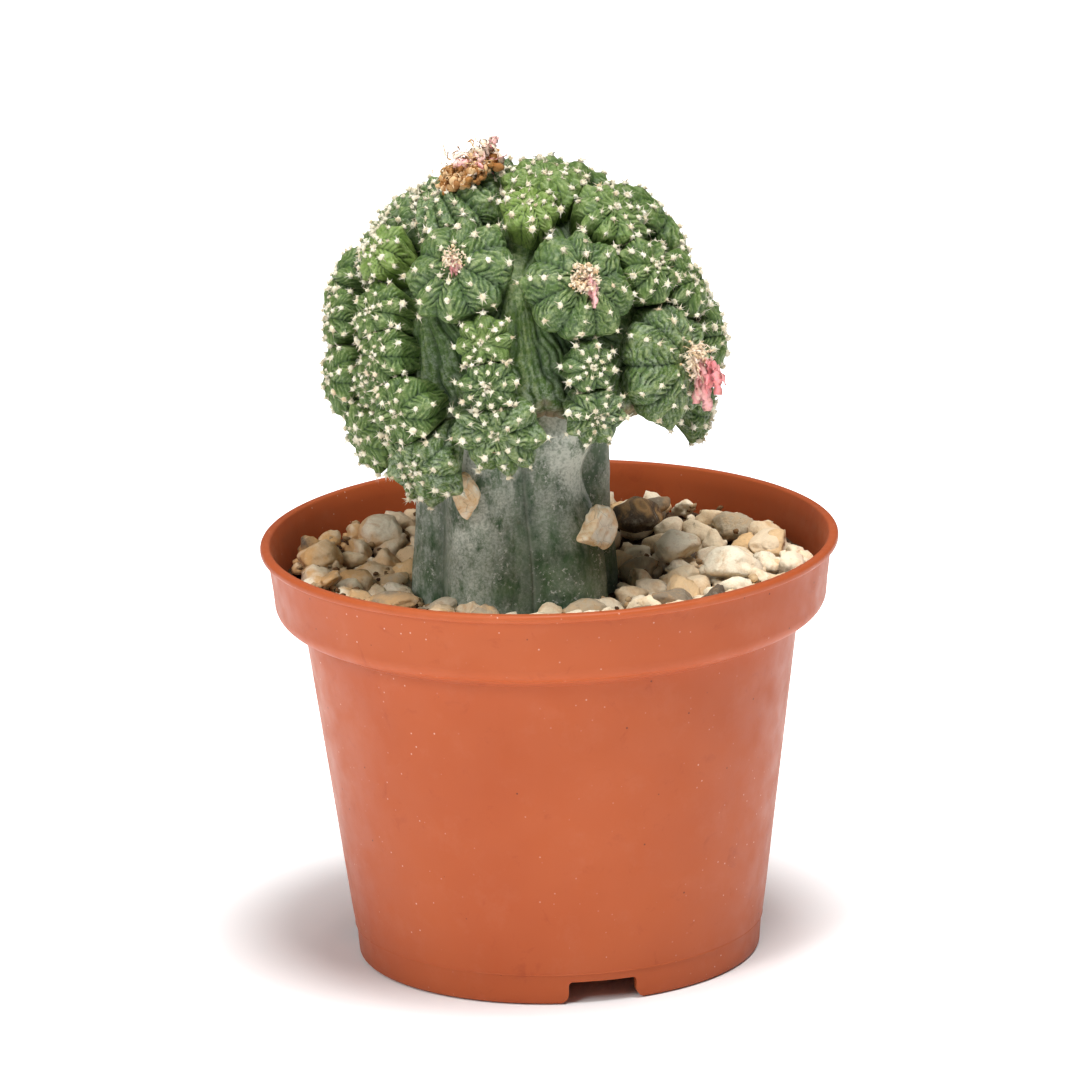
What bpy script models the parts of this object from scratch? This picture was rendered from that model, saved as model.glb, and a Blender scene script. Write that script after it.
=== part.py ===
"""Round cactus: a clustering, wrinkle-ribbed scion grafted on a five-ribbed stock, in a moulded plastic pot.

Metres, +Z up. The origin is the centre of the pot's foot, and the plant's front faces -Y.
Angles round the plant are in degrees from the front, positive towards +X.
"""

import math

import bmesh
import bpy
from mathutils import Matrix, Vector, noise

MM = 0.001
GAP = 0.3 * MM  # clearance kept between pieces that touch
CUT = 3 * MM  # how far a cutter runs past the face that it opens

# Pot
RIM_DIAMETER = 120 * MM
POT_HEIGHT = 88.5 * MM
WALL = 1.2 * MM
LIP_HEIGHT = 1.6 * MM
LIP_OVERHANG = 1.5 * MM  # how far the lip stands out from the rim band
BAND_HEIGHT = 16 * MM
BAND_LEAN = 1.3 * MM  # the band draws in by this much towards its lower edge
BAND_STEP = 5.7 * MM  # from the band's lower edge in to the tapered body
TAPER = 7.6  # degrees from upright
MOULD_LINE_HEIGHT = 6.2 * MM
MOULD_LINE_STEP = 0.25 * MM
FOOT_RING = 1.8 * MM  # width of the ring that the pot stands on
FLOOR_UNDERSIDE = 4.8 * MM
FLOOR_THICKNESS = 1.6 * MM
POT_SIDES = 72
NOTCH_FIRST_ANGLE = 12
NOTCH_WIDTH = 14.3 * MM
NOTCH_CORNER = 2.2 * MM  # radius of the flare at a notch's lower corners
FOOT_ARCS = ("pot_foot_right", "pot_foot_back", "pot_foot_left")  # one after each notch
DRAIN_HOLE_DIAMETER = 9 * MM
DRAIN_HOLE_INSET = 15 * MM  # from the foot's edge to the middle of a hole

BAND_BOTTOM = POT_HEIGHT - BAND_HEIGHT
RIM_RADIUS = RIM_DIAMETER / 2
BAND_RADIUS = RIM_RADIUS - LIP_OVERHANG
BAND_LOW_RADIUS = BAND_RADIUS - BAND_LEAN
SHOULDER_RADIUS = BAND_LOW_RADIUS - BAND_STEP
FOOT_RADIUS = SHOULDER_RADIUS - BAND_BOTTOM * math.tan(math.radians(TAPER))
FLOOR_TOP = FLOOR_UNDERSIDE + FLOOR_THICKNESS

# Filling
SOIL_BELOW_RIM = 18.5 * MM
GRAVEL_BELOW_RIM = 9.5 * MM
GRAVEL_DIP = 1.4 * MM  # depth of the hollows in the gravel's top
FILL_SIDES = 36
SOIL_TOP = POT_HEIGHT - SOIL_BELOW_RIM
GRAVEL_TOP = POT_HEIGHT - GRAVEL_BELOW_RIM

# Stock
STOCK_X = -6.5 * MM
STOCK_Y = -4 * MM
STOCK_HEIGHT = 42 * MM  # above the gravel
STOCK_CREST_RADIUS = 22.5 * MM
STOCK_RIBS = 5
STOCK_FIRST_RIB = -26
STOCK_RIB_DEPTH = 5.2 * MM
STOCK_COLUMNS_PER_RIB = 6
STOCK_SOCKET = 2 * GAP  # clearance round the stock in the soil and gravel
ROOT_DEPTH = 26 * MM
ROOT_TIP_RADIUS = 4 * MM
CALLUS_THICKNESS = 1.2 * MM
CALLUS_INSET = 2.5 * MM
STOCK_TOP = GRAVEL_TOP + STOCK_HEIGHT
ROOT_TOP = GRAVEL_TOP - 3 * MM
ROOT_TIP = ROOT_TOP - ROOT_DEPTH
STOCK_AXIS = Vector((STOCK_X, STOCK_Y, 0))

# Scion: a domed mother body with offsets over it
BODY_OFFSET = Vector((2.5 * MM, 2 * MM, 5 * MM))  # its middle, from the stock's top
BODY_HALF = Vector((33.5 * MM, 32.5 * MM, 37 * MM))
BODY_LOBES = 10
BODY_LOBE_DEPTH = 2.6 * MM
BODY_SKIRT = 2.5 * MM  # how low the folds hang round the stock's top
BODY_LEVELS = (-0.15, 0.0, 0.22, 0.45, 0.70, 0.88)  # over the half-height, from the middle
HEAD_STANDS_OUT = 7.5 * MM  # from the mother body to an offset's tip
HEAD_RIBS = 8
HEAD_RIB_DEPTH = 0.16
HANGING_BELOW = -7  # offsets lower than this angle hang beside the stock
SCAR_ROOM = 3 * MM  # clear space kept round the stock under hanging offsets
BODY_CENTRE = STOCK_AXIS + Vector((0, 0, STOCK_TOP)) + BODY_OFFSET
CLUSTER_HALF = BODY_HALF + Vector((HEAD_STANDS_OUT, HEAD_STANDS_OUT, HEAD_STANDS_OUT))

# name, angle round the plant, angle above its middle, radius, reach (1 is the cluster's outline)
HEADS = (
    ("crown_head", -65, 72, 15.5, 0.96),
    ("crest_head", -88, 45, 13.0, 0.99),
    ("offset_brow_left", -26, 40, 12.0, 1.02),
    ("offset_brow_right", 22, 34, 12.3, 1.02),
    ("offset_cheek_right", 55, 7, 13.5, 1.00),
    ("offset_chin", -9, -6, 10.0, 1.00),
    ("offset_low_left", -37, -19, 9.5, 1.00),
    ("offset_beside_crown", 33, 75, 9.5, 0.99),
    ("offset_under_crown", 6, 61, 6.5, 1.01),
    ("offset_top_right_a", 55, 54, 8.6, 1.01),
    ("offset_top_right_b", 53, 34, 7.6, 1.03),
    ("offset_right_a", 72, 26, 7.8, 1.02),
    ("offset_right_b", 84, 8, 7.8, 1.02),
    ("offset_under_cheek", 84, -15, 7.5, 0.97),
    ("offset_neck_right_a", 21, 11, 6.4, 0.98),
    ("offset_neck_right_b", 22, -3, 7.0, 0.98),
    ("offset_neck_left_a", -13, 19, 7.0, 0.98),
    ("offset_neck_left_b", -11, 7, 7.0, 1.00),
    ("offset_left_a", -66, 39, 6.4, 1.04),
    ("offset_left_b", -98, 23, 8.4, 1.04),
    ("offset_left_c", -82, 16, 6.6, 1.03),
    ("offset_left_d", -57, 23, 7.2, 1.00),
    ("offset_left_e", -50, 12, 6.6, 1.00),
    ("offset_left_f", -75, 1, 8.0, 1.02),
    ("offset_left_g", -56, 3, 6.2, 0.98),
    ("offset_left_h", -40, -2, 8.0, 1.02),
    ("offset_left_i", -60, -13, 8.2, 1.00),
    ("offset_back_a", 108, 41, 11.0, 1.00),
    ("offset_back_b", 152, 54, 13.0, 0.98),
    ("offset_back_c", 212, 49, 13.0, 0.98),
    ("offset_back_d", 243, 21, 10.0, 1.00),
    ("offset_back_e", 106, 8, 10.0, 1.00),
    ("offset_back_f", 134, 18, 11.0, 1.00),
    ("offset_back_g", 162, 8, 11.0, 1.00),
    ("offset_back_h", 196, 16, 12.0, 1.00),
    ("offset_back_i", 226, -4, 9.5, 1.00),
    ("offset_back_j", 256, -3, 8.5, 1.00),
)

# name, the head that it dried on, radius, height, sideways offset over the head's radius
FLOWERS = (
    ("dried_flower_crown", "crown_head", 6.8, 7.0, 0.0),
    ("dried_flower_brow_left", "offset_brow_left", 2.8, 3.0, 0.0),
    ("dried_flower_brow_right", "offset_brow_right", 3.2, 3.4, 0.0),
    ("dried_flower_cheek", "offset_cheek_right", 3.6, 4.6, 0.12),
)

# name, angle round the stock, height above the gravel, half-width, half-height, how far it stands out
SCARS = (
    ("callus_scar_left", -26, 25.5, 3.2, 4.9, 2.2),
    ("callus_scar_right", 46, 17.0, 4.2, 4.6, 3.6),
)

# name, angle round the pot, place from the stock (0) to the wall (1), length, width, height, turn
STONES = (
    ("stone_left_wall", -97, 0.95, 13, 10, 7.5, 80),
    ("stone_left_back", -127, 0.7, 12, 9, 7, 20),
    ("stone_beside_stock", -50, 0.45, 10, 8, 5, 10),
    ("stone_right_pear", 112, 0.25, 13, 10, 7, 70),
    ("stone_right_pale", 80, 0.6, 13, 10, 7, -30),
    ("stone_right_wall", 104, 0.95, 14, 8, 5.5, 70),
    ("stone_back_dark", 152, 0.6, 12, 10, 8, 10),
)


def clear_scene():
    for obj in list(bpy.data.objects):
        bpy.data.objects.remove(obj, do_unlink=True)


def make_material(name, colour, roughness):
    material = bpy.data.materials.new(name)
    material.use_nodes = True
    shader = material.node_tree.nodes["Principled BSDF"]
    shader.inputs["Base Color"].default_value = (*colour, 1)
    shader.inputs["Roughness"].default_value = roughness
    shader.inputs["Metallic"].default_value = 0
    return material


def add_object(name, bm, material, smooth_angle=40):
    """Turns a bmesh into a named object whose faces point outwards."""
    bmesh.ops.recalc_face_normals(bm, faces=bm.faces)
    mesh = bpy.data.meshes.new(name)
    bm.to_mesh(mesh)
    bm.free()
    mesh.shade_smooth()
    mesh.set_sharp_from_angle(angle=math.radians(smooth_angle))
    mesh.materials.append(material)
    obj = bpy.data.objects.new(name, mesh)
    bpy.context.scene.collection.objects.link(obj)
    return obj


def turned(outline, sides):
    """A closed solid turned from an outline of (radius, z): a ring if the outline stays off the axis."""
    bm = bmesh.new()
    verts = [bm.verts.new((radius, 0, z)) for radius, z in outline]
    edges = [bm.edges.new(pair) for pair in zip(verts, verts[1:])]
    if outline[0][0] > 0:
        edges.append(bm.edges.new((verts[-1], verts[0])))
    bmesh.ops.spin(bm, geom=verts + edges, cent=(0, 0, 0), axis=(0, 0, 1), angle=math.tau, steps=sides)
    bmesh.ops.remove_doubles(bm, verts=bm.verts, dist=0.01 * MM)
    return bm


def bridge_rows(bm, rows):
    for low, high in zip(rows, rows[1:]):
        for i in range(len(low)):
            j = (i + 1) % len(low)
            bm.faces.new((low[i], low[j], high[j], high[i]))


def lofted(rings, tip_low, tip_high):
    """A closed solid through rings of equally many points, closed by a tip point at each end."""
    bm = bmesh.new()
    rows = [[bm.verts.new(point) for point in ring] for ring in rings]
    bridge_rows(bm, rows)
    for row, tip in ((rows[0], tip_low), (rows[-1], tip_high)):
        end = bm.verts.new(tip)
        for i in range(len(row)):
            bm.faces.new((row[i], row[(i + 1) % len(row)], end))
    return bm


def direction(angle, height_angle=0.0):
    """The unit vector at an angle round the plant from the front, and an angle above level."""
    turn, rise = math.radians(angle), math.radians(height_angle)
    return Vector((math.sin(turn) * math.cos(rise), -math.cos(turn) * math.cos(rise), math.sin(rise)))


def scaled(vector, half):
    return Vector([a * b for a, b in zip(vector, half)])


def unscaled(vector, half):
    return Vector([a / b for a, b in zip(vector, half)])


def level_ring(axis, z, radius, sides=FILL_SIDES):
    """A level circle of points round an upright axis."""
    return [axis + direction(360 * i / sides) * radius + Vector((0, 0, z)) for i in range(sides)]


def keep_side(bm, point, normal):
    """Cuts away what lies past a plane, on the side that its normal points to, and closes the cut."""
    geometry = list(bm.verts) + list(bm.edges) + list(bm.faces)
    cut = bmesh.ops.bisect_plane(
        bm, geom=geometry, dist=1e-7, plane_co=point, plane_no=normal, clear_outer=True
    )
    edges = [item for item in cut["geom_cut"] if isinstance(item, bmesh.types.BMEdge)]
    if edges:
        bmesh.ops.holes_fill(bm, edges=edges, sides=0)


def pot_outer_outline():
    """From the wall's lower edge up to the lip: (radius, z)."""
    return [
        (outer_radius(FLOOR_UNDERSIDE), FLOOR_UNDERSIDE),
        (outer_radius(MOULD_LINE_HEIGHT) - MOULD_LINE_STEP, MOULD_LINE_HEIGHT),
        (outer_radius(MOULD_LINE_HEIGHT), MOULD_LINE_HEIGHT + MOULD_LINE_STEP),
        (outer_radius(BAND_BOTTOM - 1.0 * MM), BAND_BOTTOM - 1.0 * MM),
        (SHOULDER_RADIUS + 0.8 * MM, BAND_BOTTOM),
        (BAND_LOW_RADIUS - 3.0 * MM, BAND_BOTTOM + 0.4 * MM),
        (BAND_LOW_RADIUS - 1.0 * MM, BAND_BOTTOM + 1.6 * MM),
        (BAND_LOW_RADIUS, BAND_BOTTOM + 4.4 * MM),
        (BAND_RADIUS, POT_HEIGHT - LIP_HEIGHT - 0.3 * MM),
        (RIM_RADIUS, POT_HEIGHT - LIP_HEIGHT),
        (RIM_RADIUS, POT_HEIGHT - 0.5 * MM),
        (RIM_RADIUS - 0.5 * MM, POT_HEIGHT),
    ]


def pot_inner_outline():
    """From the lip down to the wall's lower edge: (radius, z)."""
    return [
        (RIM_RADIUS - 0.5 * MM - WALL, POT_HEIGHT),
        (BAND_RADIUS - WALL, POT_HEIGHT - LIP_HEIGHT),
        (BAND_LOW_RADIUS - WALL, BAND_BOTTOM + 4.8 * MM),
        (SHOULDER_RADIUS + 1.0 * MM - WALL, BAND_BOTTOM + WALL),
        (outer_radius(BAND_BOTTOM - 2 * MM) - WALL, BAND_BOTTOM - 2 * MM),
        (outer_radius(FLOOR_UNDERSIDE) - WALL, FLOOR_UNDERSIDE),
    ]


def outer_radius(z):
    """The tapered body's outside, from the foot to the band."""
    return FOOT_RADIUS + z * math.tan(math.radians(TAPER))


def foot_section():
    """The foot ring's section, up its outside and down its inside: (radius, z)."""
    top, inside = FLOOR_UNDERSIDE - GAP, FOOT_RADIUS - FOOT_RING
    levels = [NOTCH_CORNER * share for share in (0.15, 0.5, 1.0)]
    outer = [(FOOT_RADIUS - 0.5 * MM, 0)] + [(outer_radius(z), z) for z in levels + [top]]
    return outer + [(inside, z) for z in reversed([0] + levels + [top])]


def notch_half_width(z):
    """Half a notch's width, which flares by a quarter circle at its lower corners."""
    rise = min(1.0, z / NOTCH_CORNER)
    return NOTCH_WIDTH / 2 + NOTCH_CORNER * (1 - math.sqrt(1 - (1 - rise) ** 2))


def make_foot_arc(name, notch_angle, material):
    """The part of the foot ring from one notch to the next."""
    section, steps = foot_section(), 20
    bm = bmesh.new()
    rows = []
    for i in range(steps + 1):
        row = []
        for radius, z in section:
            clear = math.degrees(math.asin(notch_half_width(z) / radius))
            angle = notch_angle + clear + (360 / len(FOOT_ARCS) - 2 * clear) * i / steps
            row.append(bm.verts.new(direction(angle) * radius + Vector((0, 0, z))))
        rows.append(row)
    bridge_rows(bm, rows)
    for row in (rows[0], rows[-1]):
        bm.faces.new(row)
    add_object(name, bm, material)


def drain_cutter(angle):
    middle = direction(angle) * (FOOT_RADIUS - DRAIN_HOLE_INSET)
    middle.z = FLOOR_UNDERSIDE + FLOOR_THICKNESS / 2
    bm = bmesh.new()
    bmesh.ops.create_cone(
        bm,
        cap_ends=True,
        segments=16,
        radius1=DRAIN_HOLE_DIAMETER / 2,
        radius2=DRAIN_HOLE_DIAMETER / 2,
        depth=FLOOR_THICKNESS + 2 * CUT,
        matrix=Matrix.Translation(middle),
    )
    return bm


def cut_with(obj, name, bm, material):
    cutter = add_object(name, bm, material)
    cutter.hide_render = True
    cutter.display_type = "WIRE"
    modifier = obj.modifiers.new(name, "BOOLEAN")
    modifier.operation = "DIFFERENCE"
    modifier.object = cutter


def make_pot(material):
    """One moulding, kept as its wall, its floor and three arcs of foot ring, a gap apart."""
    add_object("pot", turned(pot_outer_outline() + pot_inner_outline(), POT_SIDES), material)
    floor_radius = outer_radius(FLOOR_UNDERSIDE) - WALL - GAP
    disc = [(0, FLOOR_UNDERSIDE), (floor_radius, FLOOR_UNDERSIDE), (floor_radius, FLOOR_TOP), (0, FLOOR_TOP)]
    floor = add_object("pot_floor", turned(disc, POT_SIDES), material)
    pitch = 360 / len(FOOT_ARCS)
    for i, name in enumerate(FOOT_ARCS):
        notch_angle = NOTCH_FIRST_ANGLE + i * pitch
        make_foot_arc(name, notch_angle, material)
        cut_with(floor, f"drain_cutter_{i + 1}", drain_cutter(notch_angle + pitch / 2), material)


def root_radius(z):
    """The round, buried base of the stock, from its rounded tip to full width near the gravel's top."""
    share = max(0.0, min(1.0, (z - ROOT_TIP) / (ROOT_TOP - ROOT_TIP)))
    return ROOT_TIP_RADIUS + (STOCK_CREST_RADIUS - ROOT_TIP_RADIUS) * share**0.7


def make_soil(material):
    """The compost: a plug that fits the pot, with a socket that fits the buried stock."""
    clear = 2 * GAP
    pot_axis = Vector((0, 0, 0))
    rings = [
        level_ring(pot_axis, FLOOR_TOP + GAP, outer_radius(FLOOR_TOP) - WALL - 1.2 * MM - clear),
        level_ring(pot_axis, FLOOR_TOP + 2 * MM + GAP, outer_radius(FLOOR_TOP + 2 * MM) - WALL - clear),
        level_ring(pot_axis, SOIL_TOP, outer_radius(SOIL_TOP) - WALL - clear),
    ]
    steps = 5
    for i in range(steps + 1):
        z = SOIL_TOP + (ROOT_TIP - SOIL_TOP) * i / steps
        rings.append(level_ring(STOCK_AXIS, z, root_radius(z) + STOCK_SOCKET))
    floor_tip = Vector((0, 0, FLOOR_TOP + GAP))
    socket_tip = STOCK_AXIS + Vector((0, 0, ROOT_TIP - STOCK_SOCKET - GAP))
    return add_object("soil", lofted(rings, floor_tip, socket_tip), material)


def gravel_height(point):
    """The gravel's top: level stones with hollows between them, never above GRAVEL_TOP."""
    hollow = abs(noise.noise(Vector((point.x, point.y, 0.0)) / (5.5 * MM)))
    return GRAVEL_TOP - GRAVEL_DIP * min(1.0, 1.6 * hollow)


def make_gravel_bed(material):
    """The gravel round the stock, which follows the pot's wall out under the rim band."""
    clear = 2 * GAP
    pot_axis = Vector((0, 0, 0))
    low = SOIL_TOP + GAP
    widest = BAND_LOW_RADIUS - WALL - clear
    rings = [
        level_ring(STOCK_AXIS, low, STOCK_CREST_RADIUS + STOCK_SOCKET),
        level_ring(pot_axis, low, outer_radius(low) - WALL - clear),
        level_ring(pot_axis, BAND_BOTTOM + WALL, SHOULDER_RADIUS + 1.0 * MM - WALL - clear),
        level_ring(pot_axis, BAND_BOTTOM + 4.8 * MM, widest),
    ]
    steps = 6
    inner_edge = level_ring(STOCK_AXIS, 0, STOCK_CREST_RADIUS + STOCK_SOCKET)
    outer_edge = level_ring(pot_axis, 0, widest)
    for k in range(steps + 1):
        ring = [outer.lerp(inner, k / steps) for outer, inner in zip(outer_edge, inner_edge)]
        rings.append([Vector((point.x, point.y, gravel_height(point))) for point in ring])
    bm = bmesh.new()
    rows = [[bm.verts.new(point) for point in ring] for ring in rings]
    bridge_rows(bm, rows + rows[:1])
    return add_object("gravel_bed", bm, material)


def stone_place(angle, place, length):
    """Where a stone of this length lies, between touching the stock and touching the wall."""
    out = direction(angle)
    along = STOCK_AXIS.dot(out)
    across = STOCK_AXIS.length_squared - along**2
    from_stock = along + math.sqrt(STOCK_CREST_RADIUS**2 - across) + length / 2 + 2 * GAP
    from_wall = BAND_LOW_RADIUS - WALL - length / 2 - 2 * GAP
    return out * (from_stock + place * (from_wall - from_stock))


def make_stone(name, angle, place, length, width, height, turn, material):
    """One larger stone, lying on the gravel bed: a rounded, slightly lumpy pebble."""
    bm = bmesh.new()
    bmesh.ops.create_icosphere(bm, subdivisions=2, radius=1.0)
    shift = Vector((angle, place, length))
    for vert in bm.verts:
        vert.co *= 1 + 0.16 * noise.noise(vert.co * 1.3 + shift)
    highest = max(abs(vert.co.z) for vert in bm.verts)
    widest = max(vert.co.xy.length for vert in bm.verts)
    for vert in bm.verts:
        vert.co.x *= length * MM / 2 / widest
        vert.co.y *= width * MM / 2 / widest
        vert.co.z *= height * MM / 2 / highest
    obj = add_object(name, bm, material)
    obj.location = stone_place(angle, place, length * MM)
    obj.location.z = GRAVEL_TOP + GAP + height * MM / 2
    obj.rotation_euler = (0, 0, math.radians(turn))
    return obj


def stock_radius(angle, z):
    """The stock's outline: rounded ribs with sharp furrows, which fade into the round buried base."""
    if z <= ROOT_TOP:
        return root_radius(z)
    fade_in = min(1.0, (z - ROOT_TOP) / (8 * MM))
    span = (z - ROOT_TOP) / (STOCK_TOP - ROOT_TOP)
    waist = 0.9 * MM * math.sin(math.pi * span) + 1.3 * MM * max(0.0, span - 0.55)
    across = math.radians(angle - STOCK_FIRST_RIB) * STOCK_RIBS / 2
    furrow = 1 - abs(math.cos(across)) ** 0.55
    return STOCK_CREST_RADIUS - waist - STOCK_RIB_DEPTH * furrow * fade_in


def make_stock(material):
    columns = STOCK_RIBS * STOCK_COLUMNS_PER_RIB
    buried = [ROOT_TIP + (ROOT_TOP - ROOT_TIP) * share for share in (0.0, 0.15, 0.4, 0.7)]
    shown = [ROOT_TOP + (STOCK_TOP - ROOT_TOP) * i / 6 for i in range(7)]
    rings = []
    for z in buried + shown:
        ring = []
        for i in range(columns):
            angle = STOCK_FIRST_RIB + 360 * i / columns
            ring.append(STOCK_AXIS + direction(angle) * stock_radius(angle, z) + Vector((0, 0, z)))
        rings.append(ring)
    low = STOCK_AXIS + Vector((0, 0, ROOT_TIP - GAP))
    high = STOCK_AXIS + Vector((0, 0, STOCK_TOP))
    return add_object("rootstock", lofted(rings, low, high), material)


def make_callus(material):
    """The corky ring of the graft, between the stock's cut top and the scion's cut base."""
    radius = STOCK_CREST_RADIUS - CALLUS_INSET
    low = STOCK_TOP + GAP
    high = low + CALLUS_THICKNESS
    rings = [
        level_ring(STOCK_AXIS, low, 0.94 * radius),
        level_ring(STOCK_AXIS, (low + high) / 2, radius),
        level_ring(STOCK_AXIS, high, 0.94 * radius),
    ]
    tips = (STOCK_AXIS + Vector((0, 0, low)), STOCK_AXIS + Vector((0, 0, high)))
    return add_object("graft_callus", lofted(rings, *tips), material)


def make_scar(name, angle, height, half_width, half_height, stands_out, material):
    """A dry, corky stub where an offset was cut from a rib of the stock."""
    out = direction(angle)
    side = Vector((-out.y, out.x, 0))
    base = STOCK_AXIS + out * (STOCK_CREST_RADIUS + GAP)
    base.z = GRAVEL_TOP + height * MM
    sunk = 0.35  # share of the stub's depth that the rib hides
    bm = bmesh.new()
    bmesh.ops.create_uvsphere(bm, u_segments=12, v_segments=8, radius=1.0)
    for vert in bm.verts:
        across, depth, rise = vert.co
        reach = (depth + sunk) * stands_out * MM / (1 + sunk)
        vert.co = base + side * across * half_width * MM + out * reach
        vert.co.z += rise * half_height * MM
    keep_side(bm, base, -out)
    return add_object(name, bm, material)


def fold_depth(angle):
    return BODY_LOBE_DEPTH * (1 - abs(math.cos(math.radians(angle) * BODY_LOBES / 2)) ** 0.6)


def make_body(material):
    """The mother body: a dome that stays inside its half-axes, its flanks hanging in broad folds."""
    columns = BODY_LOBES * 4
    seat = STOCK_TOP + CALLUS_THICKNESS + 2 * GAP
    hollow = STOCK_CREST_RADIUS + 2 * GAP
    rings = [level_ring(STOCK_AXIS, seat, hollow, columns)]
    rings.append(level_ring(STOCK_AXIS, STOCK_TOP - BODY_SKIRT, hollow + 0.8 * MM, columns))
    for level in BODY_LEVELS:
        share = math.sqrt(1 - level**2)
        ring = []
        for i in range(columns):
            angle = 360 * i / columns
            reach = scaled(direction(angle), BODY_HALF) - direction(angle) * fold_depth(angle)
            ring.append(BODY_CENTRE + reach * share + Vector((0, 0, level * BODY_HALF.z)))
        rings.append(ring)
    low = STOCK_AXIS + Vector((0, 0, seat))
    high = BODY_CENTRE + Vector((0, 0, BODY_HALF.z))
    return add_object("scion_body", lofted(rings, low, high), material)


def head_shape(tip, normal, radius):
    """A ribbed button: domed in front, widest behind its middle, and drawn in to a neck."""
    columns = 2 * HEAD_RIBS
    profile = ((0.42, -0.04), (0.80, -0.19), (1.0, -0.50), (1.0, -0.89), (0.86, -1.26), (0.6, -1.78))
    turn = normal.to_track_quat("Z", "Y").to_matrix()
    rings = []
    for share, depth in profile:
        ring = []
        for i in range(columns):
            across = radius * share * (1 - HEAD_RIB_DEPTH * (i % 2) * share)
            around = math.tau * i / columns
            local = Vector((across * math.cos(around), across * math.sin(around), depth * radius))
            ring.append(tip + turn @ local)
        rings.append(ring)
    return lofted(rings, tip, tip - normal * 1.95 * radius)


def body_plane(tip):
    """The plane that clears the mother body under a head, and the direction into the body."""
    inward = unscaled(BODY_CENTRE - tip, BODY_HALF).normalized()
    normal = unscaled(inward, BODY_HALF).normalized()
    return BODY_CENTRE - scaled(inward, BODY_HALF) - normal * GAP, normal


def stock_plane(tip):
    """The upright plane that clears the stock and its scars behind a hanging head."""
    inward = Vector((STOCK_X - tip.x, STOCK_Y - tip.y, 0)).normalized()
    return STOCK_AXIS - inward * (STOCK_CREST_RADIUS + GAP + SCAR_ROOM), inward


def place_heads():
    """Each head's tip, the direction that it grows in, and its radius, by name."""
    placed = {}
    for name, angle, height_angle, radius, reach in HEADS:
        out = direction(angle, height_angle)
        tip = BODY_CENTRE + scaled(out, CLUSTER_HALF) * reach
        placed[name] = (tip, unscaled(out, CLUSTER_HALF).normalized(), radius * MM)
    return placed


def make_heads(placed, material):
    """Every head is parted from each neighbour by a plane, placed by the two heads' sizes."""
    middles = {name: tip - normal * radius * 0.6 for name, (tip, normal, radius) in placed.items()}
    for name, _, height_angle, _, _ in HEADS:
        tip, normal, radius = placed[name]
        bm = head_shape(tip, normal, radius)
        for other, (_, _, other_radius) in placed.items():
            apart = middles[other] - middles[name]
            if other != name and apart.length < (radius + other_radius) * 1.3:
                share = radius / (radius + other_radius)
                toward = apart.normalized()
                keep_side(bm, middles[name] + toward * (apart.length * share - GAP / 2), toward)
        keep_side(bm, *body_plane(tip))
        if height_angle < HANGING_BELOW:
            keep_side(bm, *stock_plane(tip))
        add_object(name, bm, material)


def make_flower(name, head, radius, height, offset, material):
    """A dried, crumpled flower standing on the head that it grew from."""
    tip, normal, head_radius = head
    side = normal.cross(Vector((0, 0, 1))).normalized()
    base = tip + normal * GAP - side * head_radius * offset
    turn = normal.to_track_quat("Z", "Y").to_matrix()
    rings = []
    for share, rise in ((0.30, 0.0), (0.95, 0.30), (0.85, 0.75), (0.4, 1.0)):
        ring = []
        for i in range(10):
            around = math.tau * i / 10
            across = radius * MM * share * (1 - 0.22 * (i % 2))
            local = Vector((across * math.cos(around), across * math.sin(around), rise * height * MM))
            ring.append(base + turn @ local)
        rings.append(ring)
    return add_object(name, lofted(rings, base, base + normal * height * MM * 0.9), material)


def build():
    clear_scene()
    plastic = make_material("terracotta_plastic", (0.56, 0.13, 0.05), 0.42)
    compost = make_material("compost", (0.09, 0.05, 0.03), 0.95)
    gravel = make_material("gravel", (0.62, 0.50, 0.34), 0.9)
    slate = make_material("slate", (0.20, 0.17, 0.12), 0.8)
    stock_skin = make_material("stock_skin", (0.06, 0.12, 0.07), 0.45)
    cork = make_material("cork", (0.50, 0.30, 0.14), 0.9)
    scion_skin = make_material("scion_skin", (0.07, 0.20, 0.05), 0.6)
    dry_petal = make_material("dry_petal", (0.60, 0.32, 0.18), 0.9)
    make_pot(plastic)
    make_soil(compost)
    make_gravel_bed(gravel)
    for stone in STONES:
        dark = "slate" in stone[0] or "dark" in stone[0]
        make_stone(*stone, slate if dark else gravel)
    make_stock(stock_skin)
    make_callus(cork)
    for scar in SCARS:
        make_scar(*scar, cork)
    make_body(scion_skin)
    placed = place_heads()
    make_heads(placed, scion_skin)
    for name, head, radius, height, offset in FLOWERS:
        make_flower(name, placed[head], radius, height, offset, dry_petal)


build()
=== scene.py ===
import math

import bmesh
import bpy
import numpy as np
from mathutils import Matrix, Vector


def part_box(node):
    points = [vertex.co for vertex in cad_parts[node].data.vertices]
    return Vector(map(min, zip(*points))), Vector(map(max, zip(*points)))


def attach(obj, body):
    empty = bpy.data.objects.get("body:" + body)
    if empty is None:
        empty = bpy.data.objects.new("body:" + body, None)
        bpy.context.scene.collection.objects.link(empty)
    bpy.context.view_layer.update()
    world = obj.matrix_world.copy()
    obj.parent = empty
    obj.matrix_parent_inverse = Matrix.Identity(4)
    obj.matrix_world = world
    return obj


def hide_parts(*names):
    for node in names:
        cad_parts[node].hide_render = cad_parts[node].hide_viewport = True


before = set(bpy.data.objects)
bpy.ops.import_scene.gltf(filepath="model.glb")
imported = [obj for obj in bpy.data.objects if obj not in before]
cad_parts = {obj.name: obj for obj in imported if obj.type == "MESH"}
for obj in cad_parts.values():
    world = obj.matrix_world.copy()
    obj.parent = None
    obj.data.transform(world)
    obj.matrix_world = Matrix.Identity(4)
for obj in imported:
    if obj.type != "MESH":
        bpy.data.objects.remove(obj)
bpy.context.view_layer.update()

mm = 0.001
print("frame loaded:", len(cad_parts), "nodes")


# small helpers for meshes

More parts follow.
